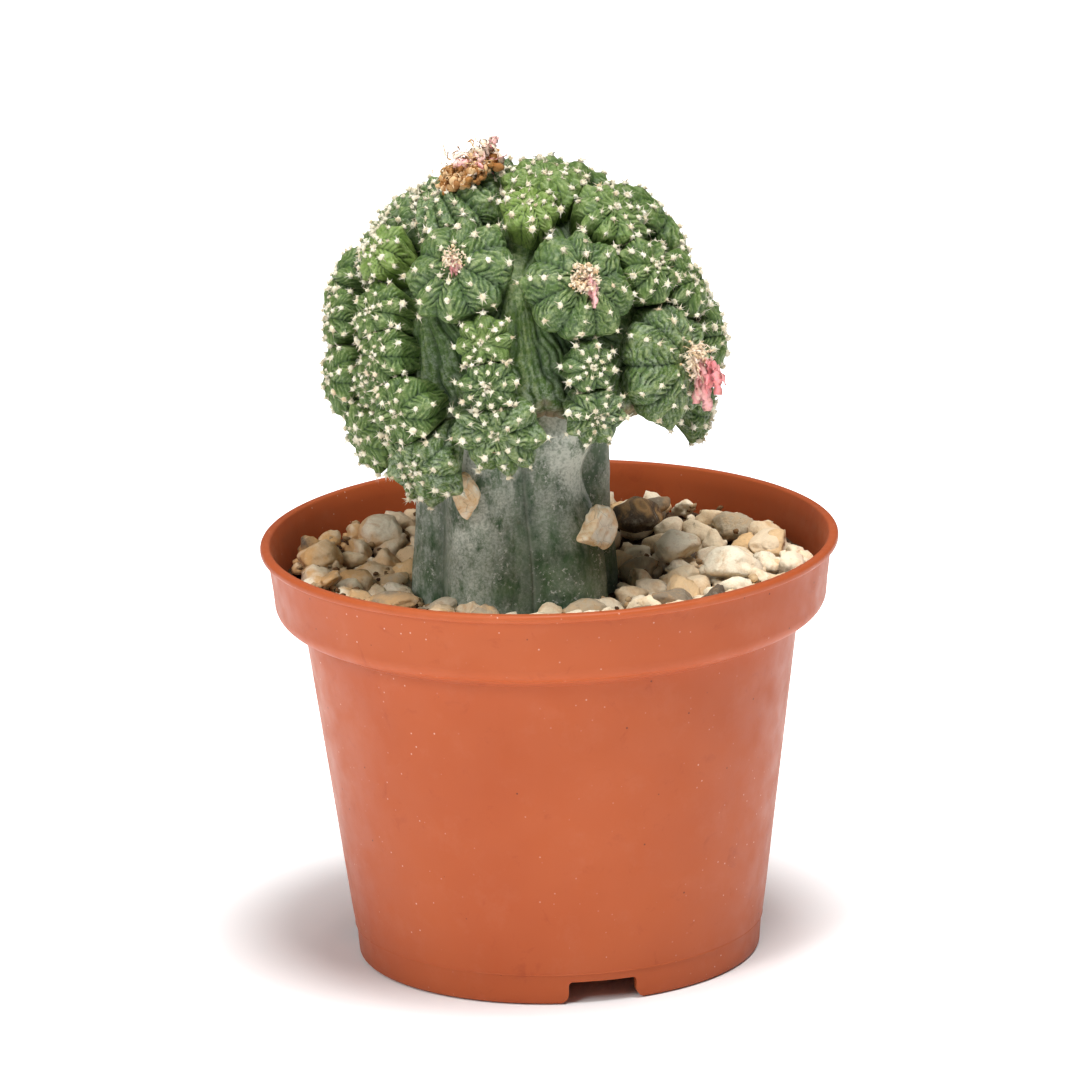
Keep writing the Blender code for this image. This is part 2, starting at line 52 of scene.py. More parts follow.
def boxOf(node):
    low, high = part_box(node)
    return np.array(low), np.array(high)


def unit(vector):
    return vector / np.linalg.norm(vector)


def setValues(mesh, name, values):
    mesh.attributes.new(name, "FLOAT", "POINT").data.foreach_set("value", np.array(values, np.float32))


def ringsOf(radius, angle, height):  # a ring of points for each radius and height
    rings = np.broadcast_arrays(np.outer(radius, np.cos(angle)), np.outer(radius, np.sin(angle)),
                                height[:, None])
    return np.stack(rings, -1)


def roundAxis(radius, angle, height, middle=(0, 0)):
    # points round an upright axis, at angles from the front
    turn = np.radians(angle)
    x, y = middle[0] + np.sin(turn) * radius, middle[1] - np.cos(turn) * radius
    return np.stack(np.broadcast_arrays(x, y, height), -1)


def smoothStep(low, high, value):
    share = np.clip((value - low) / (high - low), 0, 1)
    return share * share * (3 - 2 * share)


def ripple(points, seed, size, waves=6):  # a soft, seeded lumpiness, about -1 to 1, with lumps of this size
    random = np.random.default_rng(seed)
    total = np.zeros(points.shape[:-1])
    for _ in range(waves):
        heading = random.normal(size=3)
        heading *= random.uniform(0.6, 1.5) / np.linalg.norm(heading) * math.pi / size
        total += np.sin(points @ heading + random.uniform(0, math.tau))
    return total / waves * 1.7


def gridMesh(name, grid, lowTip, highTip, attributes=None):
    # grid is rows x columns x 3, closed round its columns, with a tip point at each end
    rows, columns = grid.shape[:2]
    points = np.concatenate([grid.reshape(-1, 3), [lowTip, highTip]])
    faces = []
    for row in range(rows - 1):
        for column in range(columns):
            after = (column + 1) % columns
            faces.append((row * columns + column, row * columns + after,
                          (row + 1) * columns + after, (row + 1) * columns + column))
    for column in range(columns):
        after = (column + 1) % columns
        faces.append((rows * columns, after, column))
        top = (rows - 1) * columns
        faces.append((rows * columns + 1, top + column, top + after))
    mesh = bpy.data.meshes.new(name)
    mesh.from_pydata(points.tolist(), [], faces)
    for label, values in (attributes or {}).items():
        flat = values.reshape(-1)
        flat = np.concatenate([flat, [flat[:columns].mean(), flat[-columns:].mean()]])
        setValues(mesh, label, flat)
    return mesh


def facesOutward(mesh):
    shape = bmesh.new()
    shape.from_mesh(mesh)
    bmesh.ops.recalc_face_normals(shape, faces=shape.faces)
    shape.to_mesh(mesh)
    shape.free()


def addPiece(name, mesh, material, replaced=(), sharp=None):
    # every piece rides on the one body and takes the place of its CAD nodes
    facesOutward(mesh)
    mesh.shade_smooth()
    if sharp:
        mesh.set_sharp_from_angle(angle=math.radians(sharp))
    mesh.materials.clear()
    mesh.materials.append(material)
    piece = bpy.data.objects.new(name, mesh)
    bpy.context.scene.collection.objects.link(piece)
    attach(piece, "root")
    if replaced:
        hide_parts(*replaced)
    return piece


# small helpers for node trees

def feed(socket, value):  # links the value in, or sets it
    if isinstance(value, bpy.types.NodeSocket):
        socket.id_data.links.new(value, socket)
    elif socket.type == "RGBA":
        socket.default_value = (*value, 1)
    else:
        socket.default_value = value


def addNode(tree, kind, inputs=None, **settings):
    node = tree.nodes.new(kind)
    for key, value in settings.items():
        setattr(node, key, value)
    for key, value in (inputs or {}).items():
        feed(node.inputs[key], value)
    return node


def wire(tree, kind, inputs=None, output=0, **settings):  # the same, but it returns the new node's output
    return addNode(tree, kind, inputs, **settings).outputs[output]


def maths(operation, *values):  # the values are numbers and sockets, at least one of them a socket
    tree = next(value for value in values if isinstance(value, bpy.types.NodeSocket)).id_data
    return wire(tree, "ShaderNodeMath", dict(enumerate(values)), operation=operation)


def plus(first, second):
    return maths("ADD", first, second)


def times(first, *others):
    for other in others:
        first = maths("MULTIPLY", first, other)
    return first


def vectorMaths(operation, vector, other, output="Vector"):
    key = "Scale" if operation == "SCALE" else 1
    return wire(vector.id_data, "ShaderNodeVectorMath", {0: vector, key: other}, output,
                operation=operation)


def joined(tree, *values):  # a vector of up to three coordinates
    return wire(tree, "ShaderNodeCombineXYZ", dict(enumerate(values)))


def splitUp(vector):  # its three coordinates
    return addNode(vector.id_data, "ShaderNodeSeparateXYZ", {0: vector}).outputs


def rangeOf(value, low, high, newLow=0.0, newHigh=1.0):
    values = {"Value": value, "From Min": low, "From Max": high, "To Min": newLow, "To Max": newHigh}
    return wire(value.id_data, "ShaderNodeMapRange", values)


def mixed(share, first, second):
    return wire(share.id_data, "ShaderNodeMix", {0: share, 6: first, 7: second}, 2, data_type="RGBA")


def ramp(value, stops):
    node = addNode(value.id_data, "ShaderNodeValToRGB", {0: value})
    elements = node.color_ramp.elements
    for place, colour in stops[2:]:
        elements.new(place)
    for element, (place, colour) in zip(elements, sorted(stops)):
        element.position = place
        element.color = (*colour, 1)
    return node.outputs[0]


def noiseOf(place, size, detail=4.0, roughness=0.55, distortion=0.0):
    # size is the width of a patch, in metres
    values = {"Vector": place, "Scale": 1 / size, "Detail": detail, "Roughness": roughness,
              "Distortion": distortion}
    return wire(place.id_data, "ShaderNodeTexNoise", values)


def cellsOf(place, size, feature="F1"):
    return wire(place.id_data, "ShaderNodeTexVoronoi", {"Vector": place, "Scale": 1 / size},
                feature=feature)


def attributeOf(place, name):
    return wire(place.id_data, "ShaderNodeAttribute", attribute_name=name, output="Fac")


def moved(place, **values):
    return wire(place.id_data, "ShaderNodeMapping", {"Vector": place, **values})


def newMaterial(name, **values):
    # values are set on the shader's own sockets, because they are the same all over
    material = bpy.data.materials.new(name)
    material.use_nodes = True
    tree = material.node_tree
    shader = tree.nodes["Principled BSDF"]
    for key, value in values.items():
        shader.inputs[key.replace("_", " ")].default_value = value
    place = wire(tree, "ShaderNodeTexCoord", output="Object")
    return material, shader, place


def setBump(shader, height, distance, strength):
    values = {"Height": height, "Distance": distance, "Strength": strength}
    feed(shader.inputs["Normal"], wire(shader.id_data, "ShaderNodeBump", values))


def newGeometryTree(name, inputs):
    # inputs are (name, kind, value); the first socket is the geometry that comes in
    tree = bpy.data.node_groups.new(name, "GeometryNodeTree")
    tree.interface.new_socket("Geometry", in_out="INPUT", socket_type="NodeSocketGeometry")
    for label, kind, value in inputs:
        socket = tree.interface.new_socket(label, in_out="INPUT", socket_type="NodeSocket" + kind)
        socket.default_value = value
    tree.interface.new_socket("Geometry", in_out="OUTPUT", socket_type="NodeSocketGeometry")
    start = addNode(tree, "NodeGroupInput")
    end = addNode(tree, "NodeGroupOutput")
    return tree, start.outputs, end


def finishTree(tree, end, geometry, material):
    real = wire(tree, "GeometryNodeRealizeInstances", {0: geometry})
    feed(end.inputs[0], wire(tree, "GeometryNodeSetMaterial", {"Geometry": real, "Material": material}))


def grownMesh(name, mesh, tree):
    # runs the tree on a mesh and returns the plain mesh that it makes
    holder = bpy.data.objects.new(name + "Source", mesh)
    bpy.context.scene.collection.objects.link(holder)
    modifier = holder.modifiers.new(name, "NODES")
    modifier.node_group = tree
    bpy.context.view_layer.update()
    depsgraph = bpy.context.evaluated_depsgraph_get()
    result = bpy.data.meshes.new_from_object(holder.evaluated_get(depsgraph), depsgraph=depsgraph)
    result.name = name
    bpy.data.objects.remove(holder, do_unlink=True)
    return result


# pot

pot = {
    "sides": 240,  # facets round the pot
    "wall": 1.2 * mm,
    "bandHeight": 16 * mm,
    "bandLean": 1.3 * mm,
    "lipOverhang": 1.5 * mm,
    "lipHeight": 1.6 * mm,
    "footRing": 1.8 * mm,
    "floorUnderside": 4.8 * mm,
    "floorThickness": 1.6 * mm,
    "mouldLine": 6.2 * mm,  # height of the raised line round the foot
    "mouldLineStep": 0.3 * mm,
    "bandStep": 5.7 * mm,
    "taper": 7.6,  # degrees
    "notches": 3,
    "firstNotch": 12,  # degrees from the front
    "notchWidth": 14.3 * mm,
    "notchHeight": 4.7 * mm,
    "notchFlare": 2.2 * mm,
    "holeRadius": 4.5 * mm,
    "holeInset": 15 * mm,
    "warp": 0.16 * mm,  # how far the thin wall is out of true
}


def heading(angle):  # level unit vector at an angle from the front, in degrees
    return np.array([math.sin(math.radians(angle)), -math.cos(math.radians(angle)), 0.0])


def arcPoints(centre, radius, first, last, steps):
    turns = np.radians(np.linspace(first, last, steps + 1))
    return [(centre[0] + radius * math.cos(turn), centre[1] + radius * math.sin(turn)) for turn in turns]


def between(first, last, steps):  # points along a straight run, without its ends
    return [tuple(np.array(first) + (np.array(last) - first) * i / steps) for i in range(1, steps)]


def potProfile():
    high = boxOf("pot")[1]
    rim, top = high[0], high[2]
    band = rim - pot["lipOverhang"]
    bandLow = band - pot["bandLean"]
    bandBottom = top - pot["bandHeight"]
    shoulder = bandLow - pot["bandStep"]
    slope = math.tan(math.radians(pot["taper"]))
    foot = shoulder - bandBottom * slope
    wall, step = pot["wall"], pot["mouldLineStep"]
    floorTop = pot["floorUnderside"] + pot["floorThickness"]
    line = pot["mouldLine"]

    def bodyRadius(z):
        return foot + z * slope

    outline = [(0, pot["floorUnderside"]), (foot - pot["footRing"] - 1.1 * mm, pot["floorUnderside"])]
    ring = foot - pot["footRing"]
    outline += arcPoints((ring - 1.0 * mm, pot["floorUnderside"] - 0.6 * mm), 0.6 * mm, 90, 0, 3)
    outline += arcPoints((ring + 0.3 * mm, 0.3 * mm), 0.3 * mm, 180, 270, 3)
    outline += arcPoints((foot - 0.55 * mm, 0.6 * mm), 0.6 * mm, -90, 0, 5)
    outline += between((foot + 0.05 * mm, 0.6 * mm), (bodyRadius(line) - step, line), 4)
    outline += [(bodyRadius(line) - step, line), (bodyRadius(line) - 0.1 * step, line + 0.08 * mm)]
    outline += arcPoints((bodyRadius(line) - 0.1 * mm, line + 0.25 * mm), 0.12 * mm, 0, 60, 2)
    shoulderFoot = (bodyRadius(bandBottom - 1.4 * mm), bandBottom - 1.4 * mm)
    outline += between((bodyRadius(line + 0.6 * mm), line + 0.6 * mm), shoulderFoot, 16)
    outline += [shoulderFoot]
    outline += arcPoints((shoulder + 1.4 * mm, bandBottom - 1.3 * mm), 1.4 * mm, 180, 95, 5)
    outline += arcPoints((bandLow - 3.6 * mm, bandBottom + 3.9 * mm), 3.7 * mm, -84, 0, 12)
    lip = top - pot["lipHeight"]
    outline += between((bandLow + 0.1 * mm, bandBottom + 4.6 * mm), (band, lip - 0.5 * mm), 5)
    outline += arcPoints((band + 0.4 * mm, lip - 0.5 * mm), 0.4 * mm, 180, 90, 4)
    outline += arcPoints((rim - 0.7 * mm, lip + 0.6 * mm), 0.7 * mm, -80, 0, 4)
    outline += arcPoints((rim - 0.75 * mm, top - 0.75 * mm), 0.75 * mm, 0, 90, 5)
    outline += arcPoints((rim - 1.6 * mm, top - 0.5 * mm), 0.5 * mm, 90, 170, 3)
    inside = bandLow - wall
    outline += [(band - wall, lip - 0.2 * mm)]
    outline += between((band - wall, lip), (inside, bandBottom + 5.0 * mm), 5)
    outline += arcPoints((inside - 3.0 * mm, bandBottom + 4.6 * mm), 3.0 * mm, 0, -75, 6)
    outline += [(shoulder + 0.6 * mm - wall, bandBottom + 0.6 * mm)]
    ends = [(bodyRadius(z) - wall, z) for z in (bandBottom - 2 * mm, floorTop + 2 * mm)]
    outline += ends[:1] + between(*ends, 8)
    outline += arcPoints((bodyRadius(floorTop) - wall - 2 * mm, floorTop + 2 * mm), 2 * mm, 0, -90, 4)
    outline += [(0, floorTop)]
    return outline, foot


def lathedMesh(name, outline, sides, warp, material):
    # each outline point becomes one ring of the turned shape
    tree, given, end = newGeometryTree(name, [("Sides", "Int", sides), ("Warp", "Float", warp)])
    count = len(outline)
    columns = plus(given["Sides"], 1.0)
    values = {"Size X": 1.0, "Size Y": 1.0, "Vertices X": columns, "Vertices Y": count}
    sheet = wire(tree, "GeometryNodeMeshGrid", values, "Mesh")
    index = wire(tree, "GeometryNodeInputIndex")
    column = maths("FLOOR", maths("DIVIDE", plus(index, 0.5), float(count)))
    row = maths("SUBTRACT", index, times(column, float(count)))
    place = wire(tree, "GeometryNodeInputPosition")
    sampled = addNode(tree, "GeometryNodeSampleIndex", {0: given["Geometry"], "Index": row},
                      data_type="FLOAT_VECTOR", domain="POINT")
    tree.links.new(place, sampled.inputs["Value"])
    point = splitUp(sampled.outputs[0])
    angle = maths("DIVIDE", times(column, math.tau), given["Sides"])
    lobe = maths("SINE", times(plus(angle, 0.7), 3.0))
    high = times(point[2], 1 / max(z for _, z in outline))
    bend = times(lobe, given["Warp"], high)
    grown = maths("GREATER_THAN", point[0], 1 * mm)
    radius = plus(point[0], times(bend, grown))
    spot = joined(tree, times(radius, maths("COSINE", angle)), times(radius, maths("SINE", angle)),
                  point[2])
    turned = wire(tree, "GeometryNodeSetPosition", {"Geometry": sheet, "Position": spot})
    closed = wire(tree, "GeometryNodeMergeByDistance", {"Geometry": turned, "Distance": 0.001 * mm})
    finishTree(tree, end, closed, material)
    line = bpy.data.meshes.new(name + "Outline")
    line.from_pydata([(r, 0, z) for r, z in outline], [(i, i + 1) for i in range(count - 1)], [])
    return grownMesh(name, line, tree)


def notchBlock(angle, foot):
    half, flare, top = pot["notchWidth"] / 2, pot["notchFlare"], pot["notchHeight"]
    side = arcPoints((half + flare, flare), flare, 180, 270, 8)
    outline = [(x, z) for x, z in [(half, top - 0.8 * mm)] + side] + [(half + flare, -3 * mm)]
    outline = arcPoints((half - 0.8 * mm, top - 0.8 * mm), 0.8 * mm, 90, 10, 3) + outline
    outline += [(-x, z) for x, z in reversed(outline)]
    out = heading(angle)
    across = np.array([-out[1], out[0], 0])
    shape = bmesh.new()
    rings = []
    for reach in (foot - 6 * mm, foot + 3 * mm):
        rings.append([shape.verts.new(out * reach + across * x + np.array([0, 0, z])) for x, z in outline])
    for i in range(len(outline)):
        j = (i + 1) % len(outline)
        shape.faces.new((rings[0][i], rings[0][j], rings[1][j], rings[1][i]))
    shape.faces.new(rings[0])
    shape.faces.new(rings[1])
    return shape


def drainRod(angle, foot):
    shape = bmesh.new()
    middle = heading(angle) * (foot - pot["holeInset"])
    middle[2] = pot["floorUnderside"]
    bmesh.ops.create_cone(shape, cap_ends=True, segments=40, radius1=pot["holeRadius"],
                          radius2=pot["holeRadius"], depth=12 * mm, matrix=Matrix.Translation(middle))
    return shape


def cutMesh(mesh, cutters):
    body = bpy.data.objects.new("cutBody", mesh)
    bpy.context.scene.collection.objects.link(body)
    spent = [body]
    for number, shape in enumerate(cutters):
        bmesh.ops.recalc_face_normals(shape, faces=shape.faces)
        block = bpy.data.meshes.new(f"cutter{number}")
        shape.to_mesh(block)
        shape.free()
        cutter = bpy.data.objects.new(f"cutter{number}", block)
        bpy.context.scene.collection.objects.link(cutter)
        spent.append(cutter)
        cut = body.modifiers.new(f"cut{number}", "BOOLEAN")
        cut.operation = "DIFFERENCE"
        cut.object = cutter
    bpy.context.view_layer.update()
    depsgraph = bpy.context.evaluated_depsgraph_get()
    result = bpy.data.meshes.new_from_object(body.evaluated_get(depsgraph), depsgraph=depsgraph)
    for item in spent:
        bpy.data.objects.remove(item, do_unlink=True)
    return result


def makePotPlastic():
    material, shader, place = newMaterial(
        "terracottaPlastic", Roughness=0.42, Sheen_Weight=0.01, Sheen_Roughness=0.5,
        Specular_IOR_Level=0.22)
    shade = ramp(noiseOf(place, 45 * mm, 3.0),
                 [(0.3, (0.385, 0.074, 0.019)), (0.7, (0.435, 0.095, 0.028))])
    film = rangeOf(noiseOf(place, 9 * mm, 6.0, 0.7), 0.54, 0.80, 0.0, 0.14)
    dusty = mixed(film, shade, (0.54, 0.21, 0.13))
    grime = rangeOf(noiseOf(place, 5 * mm, 5.0, 0.65, 0.6), 0.60, 0.74, 0.0, 0.45)
    worn = mixed(grime, dusty, (0.30, 0.050, 0.015))
    limeRegion = rangeOf(noiseOf(place, 22 * mm, 2.0), 0.46, 0.66)
    fleck = rangeOf(cellsOf(place, 2.3 * mm), 0.10, 0.04)
    lime = times(fleck, limeRegion)
    limed = mixed(times(lime, 0.55), worn, (0.85, 0.62, 0.50))
    apart = moved(place, Location=(0.013, 0.029, 0.007))
    dirt = rangeOf(cellsOf(apart, 5.5 * mm), 0.05, 0.025)
    speckled = mixed(times(dirt, 0.85), limed, (0.09, 0.03, 0.015))
    feed(shader.inputs["Base Color"], speckled)
    feed(shader.inputs["Roughness"], rangeOf(noiseOf(place, 6 * mm, 6.0), 0.3, 0.7, 0.36, 0.55))
    grain = plus(noiseOf(place, 0.5 * mm, 3.0), times(noiseOf(place, 7 * mm, 2.0), 2.5))
    setBump(shader, plus(grain, times(lime, 1.5)), 0.03 * mm, 0.5)
    return material


def makePot(material):
    outline, foot = potProfile()
    mesh = lathedMesh("potShell", outline, pot["sides"], pot["warp"], material)
    cutters = []
    for i in range(pot["notches"]):
        angle = pot["firstNotch"] + i * 360 / pot["notches"]
        cutters.append(notchBlock(angle, foot))
        cutters.append(drainRod(angle + 180 / pot["notches"], foot))
    nodes = [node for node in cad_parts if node.startswith("pot")]
    return addPiece("pot_shell", cutMesh(mesh, cutters), material, nodes, sharp=50)


makePot(makePotPlastic())
print("pot done")


# scion: the mother body and its offsets

scion = {
    "standsOut": 7.5 * mm,  # from the mother body to an offset's tip
    "skirtBelowMiddle": 7.5 * mm,  # the body's widest level is this far above its skirt
    "ribPitch": 8.4 * mm,  # along a large head's margin, from rib to rib
    "ribDepth": 0.115,  # over the head's radius
    "veinPitch": 1.6 * mm,  # between the side wrinkles of a rib
    "veinDepth": 0.85 * mm,
    "veinSlant": 1.25,  # how far they lean out along the rib
    "areolePitch": 4.3 * mm,
    "meshSize": 0.34 * mm,  # the finest wrinkle needs about three of these
    "parting": 0.15 * mm,
    "seed": 7,
    # where the bare folds hang from: degrees from the front, height over the skirt, spread in degrees
    "drapes": [(-47, 27 * mm, 26), (-3, 33 * mm, 24), (48, 18 * mm, 30), (115, 30 * mm, 34),
               (175, 34 * mm, 34), (235, 28 * mm, 34), (285, 24 * mm, 30)],
    "foldDepth": 2.6 * mm,  # between two drapes
    "creaseDepth": 1.15 * mm,
    "folds": (9, 34),  # large and small ones, over the fan's angle
    "bareLift": 3.0 * mm,  # the callus shows under this edge
    "bareAt": 6,  # degrees from the front
    "bodyRows": 158,
    "bodyColumns": 600,
}

# how a head differs: ribs, stretch along its first side, age from 0 (young) to 1, turn in degrees, size
headStyles = {
    "crown_head": {"ribs": 17, "stretch": 1.10, "age": 0.7, "turn": 100},
    "crest_head": {"ribs": 16, "stretch": 1.06, "age": 0.7, "turn": 20},
    "offset_brow_left": {"ribs": 8, "age": 0.6, "turn": 10},
    "offset_brow_right": {"ribs": 8, "age": 0.6, "turn": 30, "size": 0.96},
    "offset_cheek_right": {"ribs": 9, "age": 0.8, "size": 0.97},
    "offset_under_cheek": {"ribs": 8, "age": 0.8, "size": 0.84},
    "offset_chin": {"ribs": 9, "stretch": 1.05, "age": 0.8, "size": 0.95},
    "offset_low_left": {"ribs": 8, "age": 0.9, "size": 0.97},
    "offset_under_crown": {"ribs": 8, "age": 0.0, "size": 0.95},
    "offset_left_a": {"ribs": 8, "age": 0.0},
    "offset_beside_crown": {"ribs": 10, "age": 0.2},
    "offset_top_right_a": {"ribs": 9, "age": 0.25},
    "offset_neck_left_a": {"ribs": 8, "age": 0.3, "size": 0.86},
    "offset_neck_left_b": {"ribs": 9, "age": 0.6, "size": 0.86},
    "offset_neck_right_a": {"ribs": 8, "age": 0.6, "size": 0.84},
    "offset_neck_right_b": {"ribs": 8, "age": 0.8, "size": 0.90},
}

# a head's section, over its radius: how far out, and how high over its tip's level
headSection = [(0.0, -0.12), (0.08, -0.09), (0.20, -0.025), (0.36, 0.0), (0.54, -0.02), (0.70, -0.075),
               (0.84, -0.16), (0.94, -0.26), (1.0, -0.38), (0.99, -0.50), (0.91, -0.64), (0.78, -0.78),
               (0.66, -1.0), (0.58, -1.4)]


def scionFrame():
    low, high = boxOf("scion_body")
    half = (high - low) / 2
    middle = (high + low) / 2
    middle[2] = low[2] + scion["skirtBelowMiddle"]
    half[2] = high[2] - middle[2]
    return middle, half


def nodePoints(node):
    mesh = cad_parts[node].data
    points = np.zeros(len(mesh.vertices) * 3)
    mesh.vertices.foreach_get("co", points)
    return points.reshape(-1, 3)


def placeHeads():
    # each head's tip is its CAD solid's outermost point over the dome of the whole cluster
    middle, half = scionFrame()
    reach = half + scion["standsOut"]
    heads = {}
    for node in sorted(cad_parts):
        if not (node.startswith("offset_") or node.endswith("_head")):
            continue
        points = nodePoints(node)
        tip = points[np.argmax(np.linalg.norm((points - middle) / reach, axis=1))]
        normal = unit((tip - middle) / reach**2)
        away = points - tip
        across = np.linalg.norm(away - np.outer(away @ normal, normal), axis=1)
        heads[node] = {"tip": tip, "normal": normal, "radius": across.max()}
    for name, head in heads.items():
        head["middle"] = head["tip"] - head["normal"] * head["radius"] * 0.6
        # its stem's foot moves to the nearest place inside the mother body
        foot = head["tip"] - head["normal"] * head["radius"] * 1.4
        seat = foot.copy()
        seat[2] = max(seat[2], middle[2] - 2 * mm)
        share = np.linalg.norm((seat - middle) / half)
        seat = middle + (seat - middle) * min(1, 0.72 / share)
        head["stem"] = seat - foot
        turn = 360 * (sum(map(ord, name)) * 0.618 % 1)  # scattered, but the same on every run
        head.update({"stretch": 1.0, "size": 0.96, "age": 0.45, "turn": turn})
        head["ribs"] = max(8, round(math.tau * head["radius"] / scion["ribPitch"]))
        head.update(headStyles.get(name, {}))
    return heads


def partedBy(points, heads, name, gap):
    # presses the points back from the planes between this head and its neighbours
    head = heads[name]
    for other, near in heads.items():
        apart = near["middle"] - head["middle"]
        distance = np.linalg.norm(apart)
        if other == name or distance > (head["radius"] + near["radius"]) * 1.3:
            continue
        toward = apart / distance
        limit = distance * head["radius"] / (head["radius"] + near["radius"]) - gap
        past = (points - head["middle"]) @ toward - limit
        points = points - np.clip(past, 0, None)[..., None] * toward * 0.97
    return points


def veins(along, fromValley, pitch, seed, spot):
    # slanting side wrinkles, 1 in a crease and 0 on the swelling between two; some fork and some fade out
    wander = ripple(spot, seed, 4.5 * mm) * 0.70 + ripple(spot, seed + 5, 1.6 * mm) * 0.42
    phase = (along - scion["veinSlant"] * fromValley) / pitch + wander
    broad = (1 - np.abs(np.sin(math.pi * phase))) ** 2.3
    narrow = (1 - np.abs(np.sin(math.pi * (phase * 2 + 0.3)))) ** 2.8
    strength = 0.80 + 0.50 * ripple(spot, seed + 9, 3.0 * mm)
    return np.clip(broad * strength + 0.50 * narrow * (1.3 - strength), 0, 1.2)


def headSurface(name, heads, number):
    head = heads[name]
    radius, ribs = head["radius"] * head["size"], head["ribs"]
    section = np.array(headSection) * radius
    steps = np.concatenate([[0], np.cumsum(np.linalg.norm(np.diff(section, axis=0), axis=1))])
    fine = scion["meshSize"] * (1.0 if radius > 9 * mm else 0.85)
    rows = int(steps[-1] / fine)
    perRib = max(10, 2 * round(math.tau * radius / fine / ribs / 2))
    columns = ribs * perRib
    along = np.linspace(0.012 * radius, steps[-1], rows)
    kernel = np.hanning(9) / np.hanning(9).sum()

    def smoothed(values):
        sampled = np.interp(along, steps, values)
        return np.convolve(np.pad(sampled, 4, mode="edge"), kernel, mode="valid")

    out, high = smoothed(section[:, 0]), smoothed(section[:, 1])
    out[:4] = np.linspace(0.012 * radius, out[4], 5)[:4]
    lean = np.arctan2(-np.gradient(high), np.gradient(out))
    column = np.arange(columns)
    rib = column / perRib
    around = math.tau * rib / ribs
    sway = 0.10 * np.sin(2 * around + number) + 0.05 * np.sin(3 * around + 2.3 * number)
    angle = around + sway
    side = np.abs((rib + 0.5) % 1 - 0.5) * 2  # 0 on a rib's crest, 1 in its furrow
    share = np.clip(out / radius, 0, 1)

    turn = Vector(head["normal"]).to_track_quat("Z", "Y").to_matrix()
    turn = np.array(turn @ Matrix.Rotation(math.radians(head["turn"]), 3, "Z"))
    flat = ringsOf(out, angle, high) * [head["stretch"], 1 / head["stretch"], 1]
    lift = ringsOf(np.sin(lean), angle, np.cos(lean))

    grown = smoothStep(0.06, 0.45, share)[:, None] * smoothStep(1.0, 0.75, along / steps[-1])[:, None]
    furrow = 0.42 * side[None, :] ** 1.2 + 0.58 * side[None, :] ** 4
    depth = scion["ribDepth"] * radius * grown * furrow * (0.40 + 0.80 * share[:, None] ** 3)
    halfRib = math.pi * out[:, None] / ribs
    fromValley = (1 - side[None, :]) * halfRib
    pitch = scion["veinPitch"] * min(1, (radius / (11 * mm)) ** 0.5)
    seed = scion["seed"] + number * 13
    crease = veins(along[:, None], fromValley, pitch, seed, flat)
    crease = crease * smoothStep(0.02, 0.28, side)[None, :] * smoothStep(0.08, 0.25, share)[:, None]
    lumps = ripple(flat, seed + 1, 5 * mm) * 0.030 * radius + ripple(flat, seed + 2, 1.4 * mm) * 0.20 * mm
    push = lumps - depth - scion["veinDepth"] * (radius / (11 * mm)) ** 0.5 * crease

    spots = areoleSpots(radius, along, out, ribs, perRib, number)
    swell = np.zeros_like(push)
    for row, place, _ in spots:
        gap2 = ((flat - flat[row, place]) ** 2).sum(-1)
        swell = np.maximum(swell, np.exp(-gap2 / (2 * (0.85 * mm * min(1, radius / (9 * mm))) ** 2)))
    point = 0.50 + 0.45 * smoothStep(0.8, 1.0, share)[:, None]
    push = push + swell * point * mm * min(1, radius / (9 * mm))
    points = head["tip"] + (flat + lift * push[..., None]) @ turn.T
    points = points + head["stem"] * smoothStep(-0.42, -1.4, high / radius)[:, None, None]
    points = partedBy(points, heads, name, scion["parting"])
    points = clearOfStock(points)
    # painted light: lower in the rib furrows and wrinkle creases for painted shade, higher on the areole
    # swellings for painted highlight
    paintedFoldLight = np.clip(1 - side[None, :] ** 10 * grown * 0.60 - crease * 1.05 + swell * 0.3, 0, 1)
    low = points[-1].mean(0) - head["normal"] * radius * 0.1
    peak = points[0].mean(0)
    mesh = gridMesh(name + "_flesh", points, peak, low,
                    {"paintedFoldLight": paintedFoldLight, "age": np.full_like(paintedFoldLight, head["age"])})
    return mesh, points, spots


def areoleSpots(radius, along, out, ribs, perRib, number):
    # (row, column, size) of every areole: on the crests from the margin inwards, and a knot at the middle
    pitch = scion["areolePitch"] * min(1, (radius / (11 * mm)) ** 0.75)
    size = 1.0 if radius > 9 * mm else 0.62 + 0.38 * radius / (9 * mm)
    margin = np.interp(0.985 * radius, out[: int(np.argmax(out)) + 1], along[: int(np.argmax(out)) + 1])
    spots = []
    for k in range(ribs):
        start = margin + pitch * (0.15 if k % 2 else -0.30)
        reach = start
        while reach > 0.24 * radius:
            spots.append((int(np.argmin(np.abs(along - reach))), k * perRib,
                          size * (0.75 + 0.45 * reach / margin)))
            reach -= pitch * (0.82 + 0.18 * math.sin(3.1 * k + number))
    for k in range(0, ribs, 2):
        spots.append((int(np.argmin(np.abs(along - 0.13 * radius))), k * perRib, size * 0.8))
    return spots


def clearOfStock(points):
    low, high = boxOf("rootstock")
    axis = (low + high) / 2
    keep = (high[0] - low[0]) / 2 + 0.4 * mm
    level = points[..., :2] - axis[:2]
    distance = np.linalg.norm(level, axis=-1)
    hanging = smoothStep(high[2] + 2 * mm, high[2] - 1 * mm, points[..., 2])
    push = np.clip(keep - distance, 0, None) * hanging
    moved = points.copy()
    moved[..., :2] += level / np.maximum(distance, 1e-6)[..., None] * push[..., None]
    return moved


